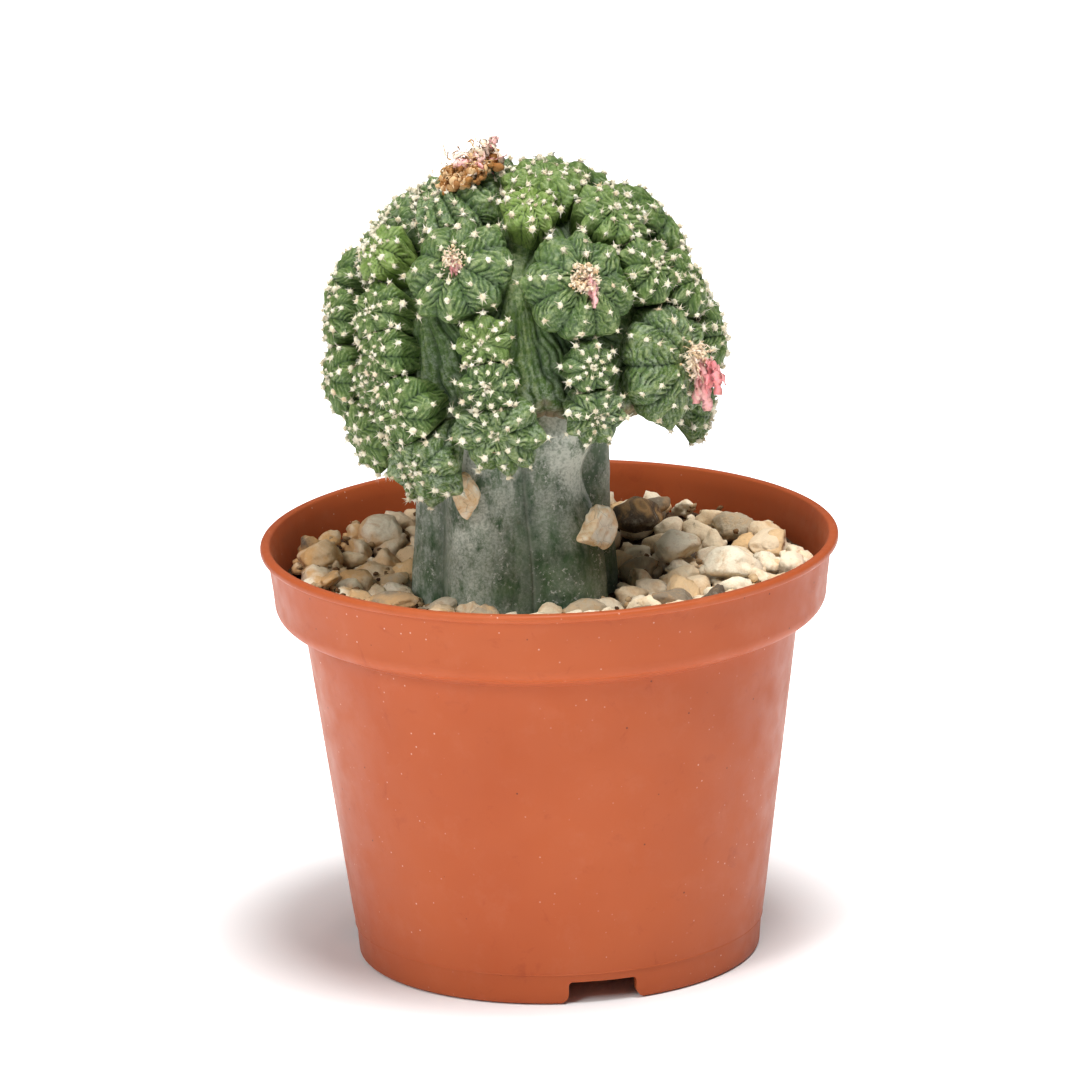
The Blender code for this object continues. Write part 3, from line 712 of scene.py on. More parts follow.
def makeScionSkin():
    material, shader, place = newMaterial(
        "wrinkledSkin", Roughness=0.5, Specular_IOR_Level=0.30, Subsurface_Weight=0.06,
        Subsurface_Scale=1.2 * mm, Subsurface_Radius=(0.6, 1.0, 0.3))
    paintedFoldLight, age = attributeOf(place, "paintedFoldLight"), attributeOf(place, "age")
    mottle = noiseOf(place, 2.4 * mm, 5.0, 0.6)
    broad = noiseOf(place, 14 * mm, 3.0)
    old = ramp(mottle, [(0.25, (0.036, 0.076, 0.012)), (0.50, (0.066, 0.122, 0.021)),
                        (0.75, (0.122, 0.188, 0.042))])
    young = ramp(mottle, [(0.25, (0.150, 0.250, 0.036)), (0.75, (0.270, 0.375, 0.085))])
    green = mixed(rangeOf(age, 0.0, 0.5, 0.75, 0.0), old, young)
    green = mixed(rangeOf(broad, 0.35, 0.7, 0.0, 0.35), green, (0.070, 0.140, 0.052))
    # pale specks, more on old heads and the mother body: partly a waxy coat and partly painted highlight
    waxAndGlint = times(rangeOf(noiseOf(place, 1.3 * mm, 7.0, 0.75), 0.46, 0.66),
                rangeOf(age, 0.5, 1.0, 0.08, 0.85))
    green = mixed(waxAndGlint, green, (0.42, 0.48, 0.36))
    green = mixed(times(attributeOf(place, "worn"), 0.8), green, (0.25, 0.17, 0.11))
    # painted highlight: a pale yellow-green along the crests of the folds
    ridge = times(rangeOf(paintedFoldLight, 0.86, 1.0), rangeOf(noiseOf(place, 0.9 * mm, 5.0, 0.7), 0.42, 0.62))
    ridgeHighlighted = mixed(times(ridge, 0.50), green, (0.42, 0.48, 0.22))
    # painted shade: near-black green in the furrows and creases, where the fold mask is low
    shaded = mixed(rangeOf(paintedFoldLight, 0.80, 0.10, 0.0, 0.90), ridgeHighlighted, (0.012, 0.032, 0.010))
    feed(shader.inputs["Base Color"], shaded)
    feed(shader.inputs["Roughness"], rangeOf(mottle, 0.3, 0.7, 0.36, 0.56))
    fine = plus(noiseOf(place, 1.1 * mm, 6.0, 0.62), times(cellsOf(place, 0.7 * mm), 0.35))
    setBump(shader, fine, 0.30 * mm, 0.75)
    return material


def bodyMesh():
    # the mother body hangs in folds, which fan out downwards from where each drape starts
    middle, half = scionFrame()
    low, _ = boxOf("scion_body")
    rows, columns = scion["bodyRows"], scion["bodyColumns"]
    rise = np.linspace(-0.19, 0.998, rows)
    angle = np.linspace(-180, 180, columns, endpoint=False)
    share = np.sqrt(1 - rise**2)
    share[:12] *= np.linspace(0.80, 1.0, 12) ** 0.5
    flat = roundAxis(share[:, None], angle, rise[:, None])
    spot = flat * half
    height = spot[..., 2] + scion["skirtBelowMiddle"]
    crease, swell = np.zeros_like(height), np.full_like(height, -1.0)
    for number, (start, top, spread) in enumerate(scion["drapes"]):
        away = (angle - start + 180) % 360 - 180
        reach = np.hypot(away[None, :] / spread, np.clip(top - height, 0, None) / (0.9 * top))
        fan = np.arctan2(np.radians(away)[None, :] * half[0], np.abs(top - height) + 3 * mm)
        ridge = (1
                 - np.abs(np.sin(fan * scion["folds"][0] + 0.9 * ripple(spot, 40 + number, 7 * mm)))) ** 1.6
        small = (1
                 - np.abs(np.sin(fan * scion["folds"][1] + 1.5 * ripple(spot, 60 + number, 4 * mm)))) ** 2.0
        own = smoothStep(spread * 1.15, spread * 0.8, np.abs(away))[None, :]
        crease = np.maximum(crease, own * (0.70 * ridge + 0.60 * small) * smoothStep(0.05, 0.4, reach))
        swell = np.maximum(swell, 1 - (away / spread)[None, :] ** 2 + 0 * height)
    swell = np.clip(swell, 0, 1)
    fade = smoothStep(0.98, 0.7, rise)[:, None]
    depth = scion["foldDepth"] * (1 - swell) ** 0.8 + scion["creaseDepth"] * crease
    depth = depth * fade + 0.3 * mm * ripple(spot, 5, 4 * mm)
    outward = flat / np.linalg.norm(flat, axis=-1)[..., None]
    points = middle + spot - outward * depth[..., None]
    bare = np.exp(-((angle - scion["bareAt"]) / 13) ** 2)[None, :] * smoothStep(0.25, -0.19, rise)[:, None]
    points[..., 2] += bare * scion["bareLift"]
    # painted shade: the mask is lower between the drapes and in their creases
    paintedFoldLight = np.clip(1 - (1 - swell) * 0.45 - crease * 0.72, 0, 1)
    worn = smoothStep(7 * mm, 1.0 * mm, height + 3.0 * mm * ripple(spot, 8, 2.5 * mm))
    seat = np.array([middle[0], middle[1], low[2] + 4.2 * mm])
    mesh = gridMesh("bodyFlesh", points, seat, middle + np.array([0, 0, half[2] * 0.99]),
                    {"paintedFoldLight": paintedFoldLight, "age": 0.62 + 0.36 * smoothStep(24 * mm, 6 * mm, height), "worn": worn})
    return mesh


def makeScion(skin):
    heads = placeHeads()
    areoles = []
    for number, name in enumerate(sorted(heads)):
        mesh, points, spots = headSurface(name, heads, number)
        rows, columns = points.shape[:2]
        for row, column, size in spots:
            near = points[min(row + 2, rows - 1), column] - points[max(row - 2, 0), column]
            across = points[row, (column + 2) % columns] - points[row, column - 2]
            normal = unit(np.cross(across, near))
            if normal @ (points[row, column] - heads[name]["middle"]) < 0:
                normal = -normal
            areoles.append((points[row, column], normal, size))
        addPiece(name + "_flesh", mesh, skin, [name])
    addPiece("mother_body", bodyMesh(), skin, ["scion_body"])
    return heads, areoles


scionHeads, scionAreoles = makeScion(makeScionSkin())
print("scion done:", len(scionHeads), "heads,", len(scionAreoles), "areoles")


# wool and spines on the areoles

wool = {
    "size": 0.50 * mm,  # radius of a full tuft
    "lumps": 0.75,  # how uneven a tuft is
    "hairLength": 2.1,  # over the tuft's radius
    "hairWidth": 0.20,
    "seed": 21,
    "spineLength": 1.6 * mm,
    "spineWidth": 0.085 * mm,
    "spineCurve": 0.22,
    "spinesEach": 2,
}


def pointsMesh(name, rows):
    # rows are (place, up, size)
    mesh = bpy.data.meshes.new(name)
    mesh.from_pydata([tuple(row[0]) for row in rows], [], [])
    up = mesh.attributes.new("up", "FLOAT_VECTOR", "POINT")
    up.data.foreach_set("vector", np.array([row[1] for row in rows], np.float32).reshape(-1))
    setValues(mesh, "size", [row[2] for row in rows])
    return mesh


def namedAttribute(tree, name, kind="FLOAT"):
    return wire(tree, "GeometryNodeInputNamedAttribute", {"Name": name}, data_type=kind)


def alignedTurn(vector, spin):
    # turns an instance's Z to the vector, after a random spin about it
    tree = vector.id_data
    lined = wire(tree, "FunctionNodeAlignRotationToVector", {"Vector": vector}, axis="Z")
    own = wire(tree, "FunctionNodeAxisAngleToRotation", {"Axis": (0, 0, 1), "Angle": spin})
    return wire(tree, "FunctionNodeRotateRotation", {0: lined, 1: own}, rotation_space="LOCAL")


def placedOn(points, instance, turn, scale, others=None):
    values = {"Points": points, "Instance": instance, "Rotation": turn, "Scale": scale, **(others or {})}
    return wire(points.id_data, "GeometryNodeInstanceOnPoints", values)


def randomValue(tree, low, high, seed):  # of numbers, whole numbers or vectors, as high is
    kind = {float: ("FLOAT", "VALUE"), int: ("INT", "INT"), tuple: ("FLOAT_VECTOR", "VECTOR")}[type(high)]
    node = addNode(tree, "FunctionNodeRandomValue", {"Seed": seed}, data_type=kind[0])
    for socket, value in zip([socket for socket in node.inputs if socket.type == kind[1]], (low, high)):
        socket.default_value = value
    return next(socket for socket in node.outputs if socket.type == kind[1])


def woolTree(material):
    tree, given, end = newGeometryTree("woolTufts", [
        ("Tuft Size", "Float", wool["size"]), ("Lumps", "Float", wool["lumps"]),
        ("Hair Length", "Float", wool["hairLength"]), ("Hair Width", "Float", wool["hairWidth"]),
        ("Seed", "Int", wool["seed"])])
    ball = wire(tree, "GeometryNodeMeshIcoSphere", {"Radius": 1.0, "Subdivisions": 2}, output="Mesh")
    core = wire(tree, "GeometryNodeMeshIcoSphere", {"Radius": 0.6, "Subdivisions": 1}, output="Mesh")
    hair = wire(tree, "GeometryNodeMeshCone",
                {"Vertices": 3, "Radius Top": 0.0, "Radius Bottom": given["Hair Width"],
                 "Depth": given["Hair Length"]}, fill_type="NONE", output="Mesh")
    outward = alignedTurn(wire(tree, "GeometryNodeInputNormal"), 0.0)
    hairs = placedOn(core, hair, outward, randomValue(tree, 0.5, 1.25, given["Seed"]))
    tuft = addNode(tree, "GeometryNodeJoinGeometry")
    tree.links.new(hairs, tuft.inputs[0])
    tree.links.new(ball, tuft.inputs[0])
    spin = randomValue(tree, 0.0, math.tau, given["Seed"])
    size = times(namedAttribute(tree, "size"), given["Tuft Size"])
    width = times(size, randomValue(tree, 0.75, 1.25, given["Seed"]))
    length = times(size, randomValue(tree, 0.9, 1.45, given["Seed"]))
    scale = joined(tree, width, length, times(size, 0.8))
    turn = alignedTurn(namedAttribute(tree, "up", "FLOAT_VECTOR"), spin)
    tufts = placedOn(given["Geometry"], tuft.outputs[0], turn, scale)
    real = wire(tree, "GeometryNodeRealizeInstances", {0: tufts})
    place = wire(tree, "GeometryNodeInputPosition")
    uneven = wire(tree, "ShaderNodeTexNoise", {"Vector": place, "Scale": 1 / (0.6 * mm), "Detail": 2.0},
                  noise_dimensions="3D", output="Color")
    centred = vectorMaths("SUBTRACT", uneven, (0.5, 0.5, 0.5))
    amount = times(given["Lumps"], times(given["Tuft Size"], 3.0))
    shift = vectorMaths("SCALE", centred, amount)
    moved = wire(tree, "GeometryNodeSetPosition", {"Geometry": real, "Offset": shift})
    finishTree(tree, end, moved, material)
    return tree


def spineTree(material):
    tree, given, end = newGeometryTree("areoleSpines", [
        ("Spine Width", "Float", wool["spineWidth"]), ("Curve", "Float", wool["spineCurve"]),
        ("Seed", "Int", wool["seed"])])
    values = {"Vertices": 4, "Side Segments": 3, "Radius Top": 0.05, "Radius Bottom": 1.0, "Depth": 1.0}
    spine = wire(tree, "GeometryNodeMeshCone", values, "Mesh", fill_type="NGON")
    place = wire(tree, "GeometryNodeInputPosition")
    height = splitUp(place)[2]
    bow = times(height, height, times(given["Curve"], 14.0))
    bent = wire(tree, "GeometryNodeSetPosition", {"Geometry": spine, "Offset": joined(tree, bow)})
    spin = randomValue(tree, 0.0, math.tau, given["Seed"])
    size = namedAttribute(tree, "size")
    scale = joined(tree, given["Spine Width"], given["Spine Width"], size)
    turn = alignedTurn(namedAttribute(tree, "up", "FLOAT_VECTOR"), spin)
    spines = placedOn(given["Geometry"], bent, turn, scale)
    finishTree(tree, end, spines, material)
    return tree


def makeWool():
    material, shader, place = newMaterial("creamWool", Roughness=0.95, Sheen_Weight=0.4,
                                          Sheen_Roughness=0.6, Specular_IOR_Level=0.15)
    tint = noiseOf(place, 1.6 * mm, 4.0, 0.6)
    shade = ramp(tint, [(0.30, (0.52, 0.40, 0.23)), (0.45, (0.74, 0.66, 0.47)), (0.65, (0.88, 0.84, 0.70))])
    rusty = rangeOf(noiseOf(place, 9 * mm, 3.0), 0.60, 0.72, 0.0, 0.6)
    feed(shader.inputs["Base Color"], mixed(rusty, shade, (0.62, 0.34, 0.13)))
    setBump(shader, noiseOf(place, 0.12 * mm, 3.0), 0.05 * mm, 0.7)
    return material


def makeSpineHorn():
    material, shader, place = newMaterial("paleHorn", Roughness=0.6, Specular_IOR_Level=0.3)
    shade = ramp(noiseOf(place, 1.2 * mm, 3.0),
                 [(0.35, (0.50, 0.36, 0.20)), (0.5, (0.75, 0.66, 0.48)), (0.7, (0.86, 0.80, 0.66))])
    feed(shader.inputs["Base Color"], shade)
    return material


def makeAreoles(areoles):
    random = np.random.default_rng(wool["seed"])
    tufts, spines = [], []
    for place, up, size in areoles:
        tufts.append((place + up * 0.10 * mm, up, size * random.uniform(0.60, 1.20)))
        for _ in range(wool["spinesEach"]):
            lean = unit(up + random.normal(size=3) * 0.55)
            length = wool["spineLength"] * size * random.uniform(0.55, 1.15)
            spines.append((place, lean, length))
    woolMaterial, horn = makeWool(), makeSpineHorn()
    mesh = grownMesh("areole_wool", pointsMesh("tuftPoints", tufts), woolTree(woolMaterial))
    addPiece("areole_wool", mesh, woolMaterial)
    mesh = grownMesh("areole_spines", pointsMesh("spinePoints", spines), spineTree(horn))
    addPiece("areole_spines", mesh, horn)
    print("areoles done:", len(tufts), "tufts,", len(spines), "spines")


makeAreoles(scionAreoles)


# stock: the ribbed column under the graft

stock = {
    "ribs": 5,
    "firstRib": -26,  # degrees from the front
    "ribDepth": 4.2 * mm,
    "creaseDepth": 0.35 * mm,  # the sharp line in the middle of a furrow
    "creaseWidth": 0.022,
    "waist": 0.07,
    # where the right rib draws in, and the deep furrow behind it: degrees from the front, spread, depth
    "sideWaist": (52, 34, 3.6 * mm),
    "sideFurrow": (84, 13, 4.2 * mm),
    "columns": 420,
    "rows": 190,
    "seed": 31,
    # taper is how far a scar draws in at its lower end, hollow is its face, heart is how pale the middle is
    "scars": {"left": {"seed": 5, "taper": 0.50, "hollow": 0.12, "tongue": 0.0, "heart": 0.0},
              "right": {"seed": 9, "taper": 0.10, "hollow": 0.32, "tongue": 4.6 * mm, "heart": 1.0}},
}


def stockMesh():
    low, high = boxOf("rootstock")
    middle = (low + high) / 2
    widest = (high[0] - low[0]) / 2
    rows, columns = stock["rows"], stock["columns"]
    z = np.linspace(low[2] + 0.4 * mm, high[2] - 0.3 * mm, rows)
    angle = np.linspace(0, 360, columns, endpoint=False)
    wander = 5 * np.sin(z / (13 * mm))[:, None] + 2.5 * np.sin(z / (5.5 * mm) + 1)[:, None]
    phase = (angle[None, :] - stock["firstRib"] + wander * 0.5) * stock["ribs"] / 360
    side = np.abs((phase + 0.5) % 1 - 0.5) * 2
    gravelTop = boxOf("gravel_bed")[1][2]
    above = smoothStep(gravelTop - 14 * mm, gravelTop + 2 * mm, z)
    share = (z - gravelTop) / (high[2] - gravelTop)
    waist = 1 - stock["waist"] * np.exp(-((share - 0.72) / 0.30) ** 2) + 0.02 * np.cos(share * 9)
    root = 0.10 + 0.90 * smoothStep(low[2] - 8 * mm, gravelTop - 3 * mm, z) ** 0.8
    crease = np.exp(-((1 - side) / stock["creaseWidth"]) ** 2)
    shoulder = smoothStep(1.02, 0.86, share)
    radius = widest * 0.985 * (waist * (0.80 + 0.20 * shoulder) * root)[:, None]
    depth = stock["ribDepth"] * (0.5 - 0.5 * np.cos(math.pi * side**1.15)) + stock["creaseDepth"] * crease
    spot = roundAxis(radius, angle, z[:, None])
    lumps = ripple(spot, stock["seed"], 11 * mm) * 0.45 * mm
    lumps = lumps + ripple(spot, stock["seed"] + 1, 3.5 * mm) * 0.10 * mm
    folds = np.abs((side * 3 + 0.2 * np.sin(z / (9 * mm))[:, None]) % 1 - 0.5) * 2
    lumps = lumps - 0.12 * mm * folds**8
    radius = radius - depth * (0.25 + 0.75 * above)[:, None] + lumps * above[:, None]
    rise = {"sideWaist": np.exp(-((share - 0.62) / 0.17) ** 2),
            "sideFurrow": above * smoothStep(1.0, 0.8, share)}
    for label, run in rise.items():
        start, spread, deep = stock[label]
        away = (angle - start + 180) % 360 - 180
        radius = radius - deep * run[:, None] * np.exp(-(away / spread) ** 2)[None, :]
    grid = roundAxis(radius, angle, z[:, None], middle)
    return gridMesh("stockFlesh", grid, np.array([middle[0], middle[1], low[2]]),
                    np.array([middle[0], middle[1], high[2]]), {"side": side, "crease": crease})


def makeStockSkin():
    material, shader, place = newMaterial("bloomedSkin", Roughness=0.45, Specular_IOR_Level=0.4)
    side, crease = attributeOf(place, "side"), attributeOf(place, "crease")
    mottle = noiseOf(place, 5 * mm, 5.0, 0.6)
    green = ramp(mottle, [(0.3, (0.030, 0.066, 0.029)), (0.55, (0.068, 0.128, 0.058)),
                          (0.8, (0.140, 0.205, 0.112))])
    # the wax bloom: thick on the left and the crests, rubbed thin elsewhere, with fine white specks
    across = splitUp(place)
    leftward = rangeOf(across[0], 2 * mm, -22 * mm, 0.45, 0.95)
    upward = rangeOf(across[2], 90 * mm, 111 * mm, 0.0, 1.25)
    leftward = plus(leftward, upward)
    streaks = moved(place, Scale=(1, 1, 0.6))
    cloud = rangeOf(noiseOf(streaks, 7 * mm, 8.0, 0.72), 0.41, 0.55)
    dust = rangeOf(noiseOf(place, 0.6 * mm, 4.0, 0.7), 0.40, 0.62, 0.45, 1.0)
    bloom = times(cloud, dust, leftward)
    bloom = times(bloom, rangeOf(side, 0.95, 0.1, 0.45, 1.0))
    coated = mixed(bloom, green, (0.60, 0.63, 0.55))
    specks = rangeOf(noiseOf(place, 0.9 * mm, 6.0, 0.75), 0.56, 0.64)
    specks = times(specks, rangeOf(noiseOf(place, 6 * mm, 4.0), 0.44, 0.60))
    coated = mixed(times(specks, 0.85), coated, (0.74, 0.74, 0.67))
    brown = rangeOf(noiseOf(place, 8 * mm, 6.0, 0.7, 1.5), 0.66, 0.72, 0.0, 0.5)
    coated = mixed(brown, coated, (0.20, 0.15, 0.09))
    scar = times(crease, rangeOf(mottle, 0.3, 0.6, 0.15, 0.55))
    coated = mixed(scar, coated, (0.42, 0.44, 0.36))
    # painted shade: the colour goes near-black green deep in each furrow
    coated = mixed(rangeOf(side, 0.75, 1.0, 0.0, 0.30), coated, (0.012, 0.026, 0.014))
    feed(shader.inputs["Base Color"], coated)
    feed(shader.inputs["Roughness"], rangeOf(bloom, 0.0, 0.7, 0.38, 0.75))
    setBump(shader, noiseOf(place, 0.8 * mm, 5.0, 0.65), 0.12 * mm, 0.5)
    return material


def makeCork():
    material, shader, place = newMaterial("corkyCallus", Roughness=0.85, Specular_IOR_Level=0.25)
    tone = noiseOf(place, 2.2 * mm, 6.0, 0.65, 0.6)
    tan = ramp(tone, [(0.25, (0.46, 0.22, 0.075)), (0.36, (0.78, 0.50, 0.24)), (0.52, (0.93, 0.72, 0.47)),
                      (0.70, (0.95, 0.88, 0.74))])
    cracks = rangeOf(cellsOf(place, 2.6 * mm, "DISTANCE_TO_EDGE"), 0.030, 0.0, 0.0, 0.35)
    cracks = times(cracks, rangeOf(noiseOf(place, 3 * mm, 2.0), 0.45, 0.55))
    healed = mixed(times(attributeOf(place, "heart"), 0.7), tan, (1.0, 0.94, 0.80))
    feed(shader.inputs["Base Color"], mixed(cracks, healed, (0.055, 0.025, 0.012)))
    rough = plus(noiseOf(place, 0.9 * mm, 6.0, 0.7), times(cracks, -0.8))
    setBump(shader, rough, 0.35 * mm, 0.7)
    return material


def scarMesh(node, style):
    # a healed stub: an uneven dome on the stock, drawn in towards its lower end
    seed = style["seed"]
    low, high = boxOf(node)
    points = nodePoints(node)
    middle = (low + high) / 2
    axis = unit((middle - sum(boxOf("rootstock")) / 2) * [1, 1, 0])
    across = np.cross([0, 0, 1], axis)
    spread = np.abs((points - middle) @ across).max()
    rise = (high[2] - low[2]) / 2
    reach = ((points - middle) @ axis).max()
    rows, columns = 44, 96
    turn = np.linspace(0, math.tau, columns, endpoint=False)
    tilt = np.linspace(0.03, 1.0, rows) * math.pi
    local = ringsOf(np.sin(tilt), turn, np.cos(tilt))
    narrow = 1 - style["taper"] * smoothStep(0.2, -1.0, local[..., 1])
    x, y, z = local[..., 0] * narrow, local[..., 1], local[..., 2]
    front = np.clip(z, 0, 1)
    face = 1 - style["hollow"] * smoothStep(0.62, 0.97, front)
    spot = np.stack([x, y, z], -1)
    uneven = 1 + 0.10 * ripple(spot, seed, 0.8) + 0.05 * ripple(spot, seed + 1, 0.25)
    folds = 0.13 * np.abs(np.sin(5.5 * y + 2.5 * np.sin(3 * x + seed))) ** 0.5 * front
    grid = middle + (x * uneven * spread)[..., None] * across
    grid = grid + (z * face * (uneven - folds) * reach)[..., None] * axis
    grid[..., 2] += y * uneven * rise
    # a pointed tongue of bark to the left, and a pale heart in the broken face
    tongue = np.exp(-((y + 0.25) / 0.32) ** 2) * smoothStep(0.1, -0.95, x)
    grid = grid - (tongue * style["tongue"])[..., None] * (across * 0.85 - axis * 0.30)
    heart = smoothStep(0.74, 0.90, front + 0.16 * ripple(spot, seed + 2, 0.3)) * style["heart"]
    return gridMesh(node + "_crust", grid, grid[0].mean(0), grid[-1].mean(0), {"heart": heart})


def makeStock(cork):
    addPiece("stock_column", stockMesh(), makeStockSkin(), ["rootstock"])
    for name, style in stock["scars"].items():
        node = "callus_scar_" + name
        addPiece(name + "_scar", scarMesh(node, style), cork, [node])
    low, high = boxOf("graft_callus")
    middle, radius = (low + high) / 2, (high[0] - low[0]) / 2
    angle = np.linspace(0, 360, 220, endpoint=False)
    tube = np.linspace(0, math.tau, 14, endpoint=False)
    level = np.sin(tube)[:, None] * (high[2] - low[2]) / 2 + np.zeros(len(angle))
    ring = radius - 3 * mm + np.cos(tube)[:, None] * 3 * mm + np.zeros(len(angle))
    spot = roundAxis(ring, angle, level)
    ring = ring + ripple(spot, 12, 3 * mm) * 0.5 * mm * (np.cos(tube) > 0)[:, None]
    grid = roundAxis(ring, angle, middle[2] + level, middle)
    grid = np.roll(grid, -7, axis=0)
    base, top = grid[0].mean(0), grid[-1].mean(0)
    addPiece("callus_ring", gridMesh("callusRing", grid, base, top), cork, ["graft_callus"])
    print("stock done")


corkMaterial = makeCork()
makeStock(corkMaterial)


# gravel and compost

gravel = {
    "innerRadius": 20 * mm,
    "level": 78.6 * mm,  # middles of the top stones beside the stock
    "riseToWall": 3.6 * mm,
    "bedDrop": 2.6 * mm,  # from the stones' middles to the compost between them
    "shapes": 6,  # kinds of pebble
    "cuts": 9,  # worn flats on each
    "seed": 5,
    # pitch is the gap between middles, size half a stone's length, drop how far it lies under the level
    "layers": {
        "gravel_large": {"pitch": 6.3 * mm, "size": 3.9 * mm, "drop": 0.0, "subdivisions": 3,
                         "inner": 23.5 * mm, "fromWall": 4.0 * mm, "seed": 4},
        "gravel_small": {"pitch": 3.7 * mm, "size": 2.2 * mm, "drop": 1.1 * mm, "subdivisions": 2,
                         "inner": 21.5 * mm, "fromWall": 2.2 * mm, "seed": 9},
        "bark_crumbs": {"pitch": 1.25 * mm, "size": 0.95 * mm, "drop": -0.9 * mm, "subdivisions": 1,
                        "inner": 22.5 * mm, "fromWall": 3.0 * mm, "seed": 6},
    },
    "crumbEdge": -22 * mm,  # left of this line the crumbs lie thick
    # grey chips: degrees from the front, distance from the middle, turn, halves of the three sides in mm
    "chips": [(-46, 45 * mm, 20, (5.6, 3.6, 1.7)), (38, 41 * mm, -25, (5.0, 3.9, 2.3)),
              (-74, 47 * mm, 70, (3.4, 2.4, 1.4)), (25, 47 * mm, 5, (3.6, 1.7, 1.0)),
              (150, 44 * mm, 40, (4.5, 3.2, 1.8))],
    "chipTone": 0.975,
}

# where a large stone differs from the pale ones: 0.5 to 0.75 is tan to rusty, 1 is black, a dark stone
# darkened further with painted shade
stoneTones = {"stone_back_dark": 1.0, "stone_left_wall": 0.74, "stone_right_wall": 0.70,
              "stone_beside_stock": 0.5}


def bedHeight(radius):
    wall = boxOf("gravel_bed")[1][0]
    return gravel["level"] + gravel["riseToWall"] * smoothStep(0.45 * wall, 0.95 * wall, radius)


def bedMesh(name, radii, height, columns, lumpy, seed):
    # a disc whose top follows the gravel, with a flat underside
    turn = np.linspace(0, math.tau, columns, endpoint=False)
    rows = [np.stack([np.cos(turn) * r, np.sin(turn) * r, np.full(columns, height(r))], -1) for r in radii]
    grid = np.array(rows)
    grid[..., 2] += ripple(grid, seed, 4 * mm) * lumpy + ripple(grid, seed + 1, 1.4 * mm) * lumpy * 0.5
    soilTop = boxOf("soil")[1]
    base = grid[-1:].copy()
    base[..., :2] *= (soilTop[0] - 0.6 * mm) / radii[-1]
    base[..., 2] = soilTop[2] + 0.5 * mm
    grid = np.concatenate([grid, base])
    return gridMesh(name, grid, grid[0].mean(0), np.array([0, 0, soilTop[2] + 0.5 * mm]))


def pebbleShape(tree, subdivisions, seed):
    # a ball worn flat by cuts in fixed random directions, then roughened a little
    random = np.random.default_rng(seed)
    ball = wire(tree, "GeometryNodeMeshIcoSphere", {"Radius": 1.0, "Subdivisions": subdivisions}, "Mesh")
    place = wire(tree, "GeometryNodeInputPosition")
    reach = None
    for _ in range(gravel["cuts"]):
        facing = unit(random.normal(size=3))
        along = vectorMaths("DOT_PRODUCT", place, tuple(facing), "Value")
        far = maths("DIVIDE", float(random.uniform(0.62, 1.0)), maths("MAXIMUM", along, 0.12))
        reach = maths("SMOOTH_MIN", reach, far, 0.14) if reach else maths("MINIMUM", far, 1.15)
    shift = tuple(random.uniform(-50, 50, 3))
    moved = vectorMaths("ADD", place, shift)
    rough = wire(tree, "ShaderNodeTexNoise", {"Vector": moved, "Scale": 1.6, "Detail": 3.0})
    reach = times(reach, rangeOf(rough, 0.25, 0.75, 0.80, 1.18))
    spot = vectorMaths("SCALE", place, reach)
    shaped = wire(tree, "GeometryNodeSetPosition", {"Geometry": ball, "Position": spot})
    return wire(tree, "GeometryNodeGeometryToInstance", {0: shaped})


def pebbleTree(material, layer):
    tree, given, end = newGeometryTree("pebbles",
                                       [("Pitch", "Float", layer["pitch"]),
                                        ("Size", "Float", layer["size"]), ("Seed", "Int", layer["seed"])])
    spots = wire(tree, "GeometryNodeDistributePointsOnFaces",
                 {"Mesh": given["Geometry"], "Distance Min": given["Pitch"], "Density Max": 90000.0,
                  "Seed": given["Seed"]}, distribute_method="POISSON", output="Points")
    kinds = addNode(tree, "GeometryNodeJoinGeometry")
    for kind in range(gravel["shapes"]):
        tree.links.new(pebbleShape(tree, layer["subdivisions"], gravel["seed"] * 100 + kind),
                       kinds.inputs[0])
    lying = randomValue(tree, (-0.5, -0.5, 0.0), (0.5, 0.5, math.tau), given["Seed"])
    shape = randomValue(tree, (0.75, 0.60, 0.48), (1.20, 0.88, 0.72), given["Seed"])
    scale = vectorMaths("SCALE", shape, given["Size"])
    scale = vectorMaths("SCALE", scale, randomValue(tree, 0.72, 1.25, given["Seed"]))
    pick = randomValue(tree, 0, gravel["shapes"] - 1, given["Seed"])
    stones = placedOn(spots, kinds.outputs[0], lying, scale,
                      {"Pick Instance": True, "Instance Index": pick})
    toned = wire(tree, "GeometryNodeStoreNamedAttribute",
                 {"Geometry": stones, "Name": "tone", "Value": randomValue(tree, 0.0, 1.0, given["Seed"])},
                 data_type="FLOAT", domain="INSTANCE")
    finishTree(tree, end, toned, material)
    return tree


